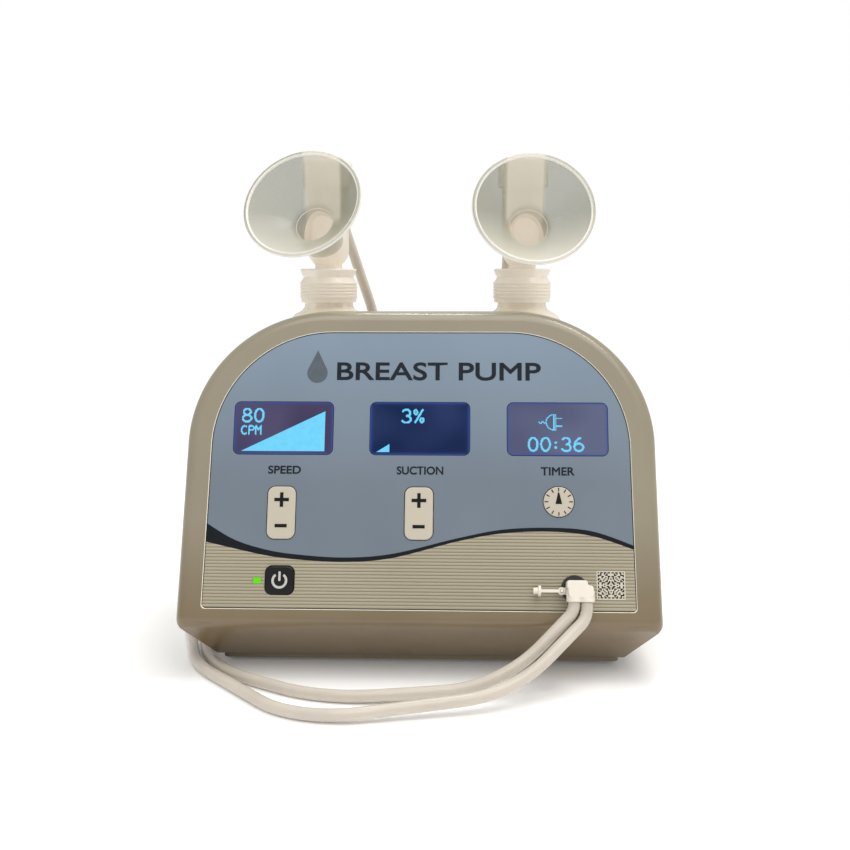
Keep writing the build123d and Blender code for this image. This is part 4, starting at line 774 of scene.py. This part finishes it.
def lettering(name, text, middle_foot, width, height, weight):
    """Plain capitals of this width and height, in millimetres, with their foot line's middle given
    and every edge moved out by weight."""
    font = bpy.data.curves.new(name, "FONT")
    font.body = text
    font.size = 1.0
    mesh = to_mesh(bpy.data.objects.new(name, font))
    xs = [v.co.x for v in mesh.vertices]
    ys = [v.co.y for v in mesh.vertices]
    wide, tall = max(xs) - min(xs), max(ys) - min(ys)
    work = opened(mesh)
    for vertex in work.verts:
        across = ((vertex.co.x - min(xs)) / wide - 0.5) * (width - 2 * weight)
        up = weight + (vertex.co.y - min(ys)) / tall * (height - 2 * weight)
        vertex.co = (
            (middle_foot[0] + across) * MM, (middle_foot[1] + up) * MM, (SHEET_FRONT - SUNK) * MM
        )
    bmesh.ops.remove_doubles(work, verts=work.verts, dist=WELD)
    embolden(work, weight * MM)
    thicken(work, INK_HEIGHT * MM)
    paint(add_piece(name, mesh_of(work, mesh), "root", PANEL), PRINT)


def embolden(work, weight):
    """Moves the edge of flat faces outwards in their own plane."""
    moves = {}
    for edge in work.edges:
        if len(edge.link_faces) != 1:
            continue
        loop = edge.link_faces[0].loops
        start, end = next(
            (corner.vert.co, corner.link_loop_next.vert.co) for corner in loop if corner.edge == edge
        )
        facing = 1 if edge.link_faces[0].normal.z > 0 else -1
        outward = Vector((end.y - start.y, start.x - end.x, 0)).normalized() * facing
        for vertex in edge.verts:
            moves.setdefault(vertex, []).append(outward)
    for vertex, normals in moves.items():
        total = sum(normals, Vector())
        if total.length > 1e-6:
            sharpness = total.length / len(normals)
            vertex.co += total.normalized() * weight / max(sharpness, 0.6)


def thicken(work, height):
    """Turns flat faces into closed solids that stand this much higher."""
    made = bmesh.ops.extrude_face_region(work, geom=list(work.faces), use_keep_orig=True)
    lifted = [item for item in made["geom"] if isinstance(item, bmesh.types.BMVert)]
    bmesh.ops.translate(work, verts=lifted, vec=(0, 0, height))
    bmesh.ops.recalc_face_normals(work, faces=work.faces)


def build_labels():
    """Names of the three controls and the panel's generic title."""
    for name, (across, width) in LABELS.items():
        lettering("label_" + name.lower(), name, (across, LABEL_UP), width, LABEL_HEIGHT, 0.17)
    lettering("panel_title", "BREAST PUMP", TITLE_FOOT, *TITLE_SIZE, 0.3)
    drop = arc(DROP_MIDDLE, 6.2, 150, 390, 36) + [(DROP_MIDDLE[0], DROP_MIDDLE[1] + 14.2)]
    printed("title_drop", [drop], INK_HEIGHT, ink("emblem_ink", srgb(82, 90, 98)))


SYMBOL_HEIGHT = 0.15
PLUS_UP, MINUS_UP = 7.7, -7.9   # from a key's middle
PLUS_ARM = 4.35
SYMBOL_BAR = 2.0
MINUS_WIDTH = 7.2


def symbol(name, outlines, node, look=SYMBOL_INK):
    """A raised symbol on a key or button, drawn in the panel's plane."""
    front = panel_box(node).front
    piece = panel_piece(name, outlines, front - 0.05, front + SYMBOL_HEIGHT, node)
    paint(piece, look)


def build_key_symbols():
    """Plus and minus on the two rocker keys."""
    arm, bar = PLUS_ARM, SYMBOL_BAR / 2
    for key in ("speed_key", "suction_key"):
        x, y = panel_box(key).middle
        plus = []
        for side, rise in ((-1, -1), (1, -1), (1, 1), (-1, 1)):
            corner = [(arm, bar), (bar, bar), (bar, arm)][::side * rise]
            plus += [(x + side * across, y + PLUS_UP + rise * up) for across, up in corner]
        symbol(key + "_plus", [plus], key)
        symbol(key + "_minus", [rectangle((x, y + MINUS_UP), MINUS_WIDTH, SYMBOL_BAR)], key)


def build_timer_dial():
    """Twelve ticks and a pointer on the timer button."""
    x, y = panel_box("timer_button").middle
    outlines = []
    for hour in range(12):
        angle = math.radians(30 * hour)
        ray, side = (math.cos(angle), math.sin(angle)), (-math.sin(angle), math.cos(angle))
        outlines.append([
            (x + ray[0] * reach + side[0] * half, y + ray[1] * reach + side[1] * half)
            for reach, half in rectangle((7.3, 0), 2.2, 0.56)
        ])
    foot, tip = y - 1.3, y + 5.5
    outlines.append([(x - 1.95, foot), (x + 1.95, foot), (x + 0.35, tip), (x - 0.35, tip)])
    symbol("timer_dial_marks", outlines, "timer_button")


def build_power_symbol():
    """The ring and bar on the power button."""
    x, y = panel_box("power_button").middle
    ring = arc((x, y - 0.3), 4.7, 125, 415, 40) + arc((x, y - 0.3), 3.3, 415, 125, 40)
    bar = rounded((x, y + 2.3), 1.35, 5.6, 0.5)
    symbol("power_symbol", [ring, bar], "power_button", ink("symbol_grey", srgb(184, 182, 176)))


# ---- displays ----

LCD_IMAGE = (58.6, 32.2)        # the part of a display that its picture is laid out in
PIXEL = 0.45                    # pitch of the displays' picture elements
STROKE = 1.25                   # width of a digit's line
UNIT_STROKE = 0.95
ICON_STROKE = 0.62
LCD_INK = glowing("lcd_pixels", srgb(104, 198, 236), 0.95)


def digit_lines(character):
    """Strokes of a character, in a box 7 wide and 9 high."""
    return {
        "0": [arc((3.5, 4.5), (2.6, 4.0), 0, 360)],
        "3": [arc((3.3, 6.5), (2.3, 2.0), 150, -80), arc((3.3, 2.6), (2.7, 2.1), 80, -150)],
        "6": [arc((3.5, 2.8), (2.6, 2.3), 0, 360), arc((5.4, 3.2), (4.5, 5.3), 180, 100)],
        "8": [arc((3.5, 6.6), (2.1, 1.9), 0, 360), arc((3.5, 2.6), (2.6, 2.1), 0, 360)],
        "%": [
            arc((1.5, 7.0), (0.9, 1.3), 0, 360), arc((5.3, 2.0), (0.9, 1.3), 0, 360),
            [(1.3, 0.7), (5.6, 8.3)],
        ],
        ":": [arc((2.2, 5.6), 0.15, 0, 360), arc((2.2, 2.6), 0.15, 0, 360)],
        "C": [arc((3.5, 4.5), (2.8, 4.0), 50, 310)],
        "P": [
            [(0.9, 0.5), (0.9, 8.5), (3.6, 8.5)], arc((3.6, 6.4), (2.3, 2.1), 90, -90),
            [(3.6, 4.3), (0.9, 4.3)],
        ],
        "M": [[(0.8, 0.5), (0.8, 8.5), (3.4, 4.8), (6.0, 8.5), (6.0, 0.5)]],
    }[character]


def distance_to(point, start, end):
    """Distance of a point from a stretch of line."""
    run, rise = end[0] - start[0], end[1] - start[1]
    x, y = point[0] - start[0], point[1] - start[1]
    square = run * run + rise * rise
    along = max(0.0, min(1.0, (x * run + y * rise) / square)) if square else 0.0
    return math.hypot(x - along * run, y - along * rise)


def lit_cells(lines, stroke):
    """Picture elements, as (column, row), that lie under any of the lines."""
    xs = [x for line in lines for x, _ in line]
    ys = [y for line in lines for _, y in line]
    cells = []
    for column in range(int((min(xs) - stroke) / PIXEL), int((max(xs) + stroke) / PIXEL) + 1):
        for row in range(int((min(ys) - stroke) / PIXEL), int((max(ys) + stroke) / PIXEL) + 1):
            spot = ((column + 0.5) * PIXEL, (row + 0.5) * PIXEL)
            near = min(
                distance_to(spot, start, end) for line in lines for start, end in zip(line, line[1:])
            )
            if near <= stroke / 2:
                cells.append((column, row))
    return cells


def written(text, foot_left, scale=1.0, pitch=7.4):
    """Lines of a text whose first character's lower left corner is given."""
    lines = []
    x = foot_left[0]
    for character in text:
        for line in digit_lines(character):
            lines.append([(x + a * scale, foot_left[1] + b * scale) for a, b in line])
        x += (5.0 if character == ":" else pitch) * scale
    return lines


def shifted(lines, place):
    return [[(x + place[0], y + place[1]) for x, y in line] for line in lines]


def plug_icon():
    """A mains plug with its cord, about 14 wide and 10 high, from its middle."""
    cord = [(-7, 0.2), (-5.9, -0.9), (-4.8, 0.8), (-3.7, -0.6), (-2.7, 0)]
    shell = arc((1.9, 0), (4.6, 4.7), 90, 270, 20)
    return [
        cord, shell, [(1.9, 4.7), (3.2, 4.7), (3.2, -4.7), (1.9, -4.7)], [(1.9, 4.7), (1.9, -4.7)],
        [(3.2, 2.4), (6.6, 2.4)], [(3.2, -2.4), (6.6, -2.4)],
    ]


def cells_piece(name, lines, front, stroke=STROKE):
    """One closed low block for each picture element of a display that a line covers."""
    cells = lit_cells(lines, stroke)
    spots = [((column + 0.5) * PIXEL, (row + 0.5) * PIXEL, front) for column, row in cells]
    piece = add_piece(name, blocks_mesh(spots, 0.98 * PIXEL, 0.1), "root", PANEL)
    paint(piece, LCD_INK)


def lcd_glass(name, slate, cloud, centre, half_width, half_height):
    """Backlit glass: slate in the middle, brighter blue towards its edges, where the lamps are."""
    finish = Finish(
        name, 0.15, Specular_IOR_Level=0.12, Base_Color=srgb(8, 8, 14), Emission_Strength=0.9
    )
    inputs = {
        "Vector": finish.place,
        "Location": (-centre[0] / half_width, -centre[1] / half_height, 0),
        "Scale": (1 / (half_width * MM), 1 / (half_height * MM), 1),
    }
    shift = finish.node("ShaderNodeMapping", inputs, vector_type="POINT")
    axes = finish.axes(shift.outputs["Vector"])
    reaches = [
        finish.maths("POWER", finish.maths("ABSOLUTE", axes[axis]), sharpness)
        for axis, sharpness in (("X", 40), ("Y", 24))
    ]
    clouded = finish.blend(finish.span(finish.noise(22, 1), 0, 1, 0.42, 0.62), slate, cloud)
    edge = finish.maths("MAXIMUM", *reaches)
    finish.shade(Emission_Color=finish.blend(edge, clouded, LAMP_BLUE))
    return finish.material


LAMP_BLUE = srgb(58, 88, 168)
LCD_SIZE = (59.9, 32.1)
LCD_ROUND = 3.6
LCD_BORDER = 0.4
# Slate and cloud colours, and how far the window lies across from its display's middle.
LCD_LOOKS = {
    "speed": (srgb(84, 78, 112), srgb(70, 62, 96), -0.5),
    "suction": (srgb(14, 36, 80), srgb(38, 54, 100), 0.0),
    "timer": (srgb(102, 108, 138), srgb(88, 92, 124), 0.6),
}
LCD_DROP = 0.6


def build_displays():
    """Glowing glass, digits and level pictures in the printed sheet's three clear windows."""
    border_ink_and_shadow = ink("window_border", srgb(20, 24, 42), 0.3)
    shown = {}
    for name, (slate, cloud, shift) in LCD_LOOKS.items():
        middle = panel_box(name + "_display").middle
        centre = (middle[0] + shift, middle[1] - LCD_DROP)
        width, height = LCD_SIZE
        edge = rounded(
            centre, width + 2 * LCD_BORDER, height + 2 * LCD_BORDER, LCD_ROUND + LCD_BORDER
        )
        printed(name + "_window_border", [edge], 0.03, border_ink_and_shadow)
        glass_front = SHEET_FRONT + 0.08
        outline = rounded(centre, width, height, LCD_ROUND)
        glass = panel_piece(name + "_lcd", [outline], SHEET_FRONT + 0.01, glass_front)
        look = lcd_glass(name + "_glass", slate, cloud, centre, width / 2, height / 2)
        paint(glass, look)
        shown[name] = (centre[0] - LCD_IMAGE[0] / 2, centre[1] - LCD_IMAGE[1] / 2, glass_front)
    left, foot, front = shown["speed"]
    cells_piece("speed_digits", written("80", (left + 3.3, foot + 19.4)), front)
    unit = written("CPM", (left + 3.4, foot + 12.0), 0.62, 6.9)
    cells_piece("speed_unit", unit, front, UNIT_STROKE)
    level_ramp("speed_level", (left + 4, foot + 1.9), 50.4, 24.6, front)
    left, foot, front = shown["suction"]
    cells_piece("suction_digits", written("3%", (left + 17.8, foot + 19.2)), front)
    level_ramp("suction_level", (left + 3.3, foot + 1.6), 7.8, 4.9, front)
    left, foot, front = shown["timer"]
    cells_piece("timer_digits", written("00:36", (left + 11.2, foot + 2.3)), front)
    icon = shifted(plug_icon(), (left + 25.3, foot + 20.3))
    cells_piece("timer_plug_icon", icon, front, ICON_STROKE)


def level_ramp(name, corner, width, height, front):
    """The rising wedge that shows a setting."""
    x, y = corner
    wedge = [(x, y), (x + width, y), (x + width, y + height)]
    paint(panel_piece(name, [wedge], front, front + 0.1), LCD_INK)


# ---- sticker ----

STICKER_MIDDLE = (112.5, 24.8)
STICKER_SIZE = 16.6
STICKER_CELLS = 21


def build_sticker():
    """A white label with a plain mosaic, mirrored both ways so that it holds no code."""
    front = SHEET_FRONT + RIB_HEIGHT
    base = panel_piece(
        "sticker", [rounded(STICKER_MIDDLE, STICKER_SIZE, STICKER_SIZE, 0.6)], front - 0.02,
        front + 0.08
    )
    paint(base, ink("sticker_paper", srgb(196, 190, 174), 0.55))
    cell = (STICKER_SIZE - 1.4) / STICKER_CELLS
    half = STICKER_CELLS // 2
    spots = [
        (STICKER_MIDDLE[0] + column * cell, STICKER_MIDDLE[1] + row * cell, front + 0.1)
        for column in range(-half, half + 1) for row in range(-half, half + 1)
        if mosaic(abs(column), abs(row), half)
    ]
    pattern = add_piece("sticker_mosaic", blocks_mesh(spots, cell, 0.05), "root", PANEL)
    paint(pattern, SYMBOL_INK)


def mosaic(column, row, half):
    """Whether a cell of the mosaic is dark, by its distance from the middle each way."""
    if max(column, row) == half:
        return (column + row) % 3 != 1
    return (column * column + row * row + column * row) % 5 in (0, 2) or (column * row) % 7 == 3


# ---- tubes, connector and flange lips ----


def cad_copy(node, name):
    """A new mesh object that starts from a CAD node's shape."""
    mesh = frame["nodes"][node].data.copy()
    mesh.materials.clear()
    piece = bpy.data.objects.new(name, mesh)
    bpy.context.scene.collection.objects.link(piece)
    return piece


def keep_side(piece, point, normal):
    """Cuts a piece by a plane, keeps the side the normal points away from, and closes the cut."""
    work = opened(piece.data)
    bmesh.ops.remove_doubles(work, verts=work.verts, dist=WELD)
    cut = bmesh.ops.bisect_plane(
        work, geom=[*work.verts, *work.edges, *work.faces], plane_co=point, plane_no=normal,
        clear_outer=True
    )
    edges = [item for item in cut["geom_cut"] if isinstance(item, bmesh.types.BMEdge)]
    bmesh.ops.triangle_fill(work, use_beauty=True, use_dissolve=False, edges=edges)
    bmesh.ops.recalc_face_normals(work, faces=work.faces)
    mesh_of(work, piece.data)


def softened(node, voxel, rounds):
    """Replaces a CAD node by a copy whose edges are rounded over, like soft moulded vinyl; voxel is
    in millimetres."""
    piece = cad_copy(node, node + "_soft")
    remesh = piece.modifiers.new("remesh", "REMESH")
    remesh.mode = "VOXEL"
    remesh.voxel_size = voxel * MM
    smooth = piece.modifiers.new("smooth", "SMOOTH")
    smooth.factor = 0.5
    smooth.iterations = rounds
    mesh = evaluated_mesh(piece)
    piece.modifiers.clear()
    piece.data = mesh
    smooth_by_angle(mesh, 60)
    dress(piece, SLOTS[node])
    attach(piece, frame["nodes"][node]["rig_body"])
    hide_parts(node)


def build_tubes():
    """Each tube in two lengths, front and rear, that meet at its left turn; neither is attached to
    the connector or a kit."""
    plate_low, plate_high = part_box("base_plate")
    joint_y = (plate_low.y + plate_high.y) / 2
    socket_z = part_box("tubing_connector")[0].z
    for side in ("left", "right"):
        node = "tube_" + side
        low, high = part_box(node)
        for part, normal, body, end_z in (
            ("front", (0, 1, 0), "connector", socket_z), ("rear", (0, -1, 0), side + "_kit", high.z),
        ):
            piece = cad_copy(node, f"{node}_{part}")
            keep_side(piece, (0, joint_y, 0), normal)
            smooth_by_angle(piece.data, 50)
            dress(piece, "tube_silicone")
            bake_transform(piece)
            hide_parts(node)


RIM_SECTION = 1.5               # radius of the flanges' rolled lip
LIP_REACH = 2.5 * MM            # how deep the CAD lip is searched for its widest place
LIP_INSET = 1.1                 # from there in to the middle of the rolled lip
TUNNEL_DEPTH = 25.6             # from the lip back to where the cone meets the tunnel
TUNNEL_RADIUS = 12.7
TUNNEL_SECTION = 0.45


def build_flange_rims():
    """The rolled lip round each flange's mouth, and a fine light bead where its cone meets the
    tunnel, painted as the highlight on that edge.
    """
    for mount in frame["record"]["mounts"]:
        if not mount["name"].endswith("_flange_mouth"):
            continue
        side = mount["name"].split("_")[0]
        axis = Vector(mount["axis"]).normalized()
        hub = Vector(JOINTS[side + "_flange_turn"]["pos_m"])
        reaches = [v.co - hub for v in frame["nodes"][side + "_flange_body"].data.vertices]
        mouth = max(reach.dot(axis) for reach in reaches)
        lip = [reach for reach in reaches if reach.dot(axis) > mouth - LIP_REACH]
        radius = max((reach - axis * reach.dot(axis)).length for reach in lip)
        place = Matrix.Translation(hub + axis * (mouth - RIM_SECTION * MM))
        place @= axis.to_track_quat("Z", "Y").to_matrix().to_4x4()
        add_bead(side + "_flange_rim", side, place, radius / MM - LIP_INSET, RIM_SECTION, (96, 16))
        # painted highlight: a light bead that stands for the highlight on the tunnel's edge
        place = Matrix.Translation(-axis * TUNNEL_DEPTH * MM) @ place
        add_bead(side + "_tunnel_rim", side, place, TUNNEL_RADIUS, TUNNEL_SECTION, (64, 12))


def add_bead(name, side, place, radius, thickness, counts):
    """A round bead on a flange: its radius and half thickness in millimetres, and how many points
    it has round the ring and round the bead."""
    circle, section = [
        arc((0, 0), size, 0, 360, count)[:-1] for size, count in zip((radius, thickness), counts)
    ]
    bead = add_piece(name, ring_mesh(circle, section), side + "_flange", place)
    paint(bead, RIM_PLASTIC)


# ---- stage ----

CAMERA_TURN = math.radians(2.0)         # to the right of straight ahead
CAMERA_RISE = math.radians(7.5)
CAMERA_DISTANCE = 0.6537
CAMERA_AIM = (3.4, 117.7, 8.8)          # on the panel, in its own millimetres
LENS = 46.59
SKY_LIGHT = 0.62
SUN_LIGHT = 1.35


def add_light(name, kind, power, colour, direction, place=(0, 0, 0), **settings):
    """A lamp that shines along a direction."""
    lamp = bpy.data.lights.new(name, kind)
    lamp.energy = power
    lamp.color = colour
    for setting, value in settings.items():
        setattr(lamp, setting, value)
    light = bpy.data.objects.new(name, lamp)
    light.location = place
    light.rotation_euler = Vector(direction).to_track_quat("-Z", "Y").to_euler()
    bpy.context.scene.collection.objects.link(light)


def build_stage():
    """Pale floor, soft lamps, an even pale world and the camera."""
    scene = bpy.context.scene
    scene.view_settings.view_transform = "Standard"
    bpy.ops.mesh.primitive_plane_add(size=60, location=(0, 0, cad_box[0][2]))
    floor = bpy.context.active_object
    floor.name = "floor"
    finish = Finish(
        "floor_paper", 0.9, Specular_IOR_Level=0.1, Emission_Strength=0.07,
        Emission_Color=(1, 1, 1, 1)
    )
    finish.shade(Base_Color=finish.blend(finish.drift(40), srgb(249, 249, 249), srgb(251, 251, 251)))
    floor.data.materials.append(finish.material)

    world = bpy.data.worlds.new("studio")
    world.use_nodes = True
    backdrop = world.node_tree.nodes["Background"]
    seen = world.node_tree.nodes.new("ShaderNodeLightPath").outputs["Is Camera Ray"]
    strength = world.node_tree.nodes.new("ShaderNodeMapRange")
    strength.inputs["To Min"].default_value = SKY_LIGHT
    strength.inputs["To Max"].default_value = 1.0
    world.node_tree.links.new(seen, strength.inputs["Value"])
    world.node_tree.links.new(strength.outputs["Result"], backdrop.inputs["Strength"])
    backdrop.inputs["Color"].default_value = (1, 1, 1, 1)
    scene.world = world

    middle = PANEL @ (Vector(CAMERA_AIM) * MM)
    add_light(
        "overhead_light", "SUN", SUN_LIGHT, (1.0, 0.985, 0.96), (-0.12, 0.5, -1.0),
        angle=math.radians(50)
    )
    strip_place = Vector((0.2, 0.1, 1.0))
    add_light(
        "strip_light", "AREA", 5, (1.0, 0.98, 0.95), middle - strip_place, strip_place,
        shape="RECTANGLE", size=1.2, size_y=0.1
    )

    camera_data = bpy.data.cameras.new("camera")
    camera_data.lens = LENS
    camera_data.sensor_width = 36
    camera_data.clip_start = 0.01
    camera = bpy.data.objects.new("camera", camera_data)
    direction = Vector((
        math.sin(CAMERA_TURN) * math.cos(CAMERA_RISE),
        -math.cos(CAMERA_TURN) * math.cos(CAMERA_RISE),
        math.sin(CAMERA_RISE),
    ))
    camera.location = middle + direction * CAMERA_DISTANCE
    camera.rotation_euler = (-direction).to_track_quat("-Z", "Y").to_euler()
    scene.collection.objects.link(camera)
    scene.camera = camera


# ---- everything together ----

for cad_node, cad_object in frame["nodes"].items():
    dress(cad_object, SLOTS[cad_node])
    smooth_by_angle(cad_object.data)
build_swoosh()
build_ribbed_field()
build_sheet_edge()
build_labels()
build_key_symbols()
build_timer_dial()
build_power_symbol()
build_displays()
build_sticker()
build_flange_rims()
build_tubes()
softened("tubing_connector", 0.3, 22)
softened("single_pump_plug", 0.2, 3)
build_stage()
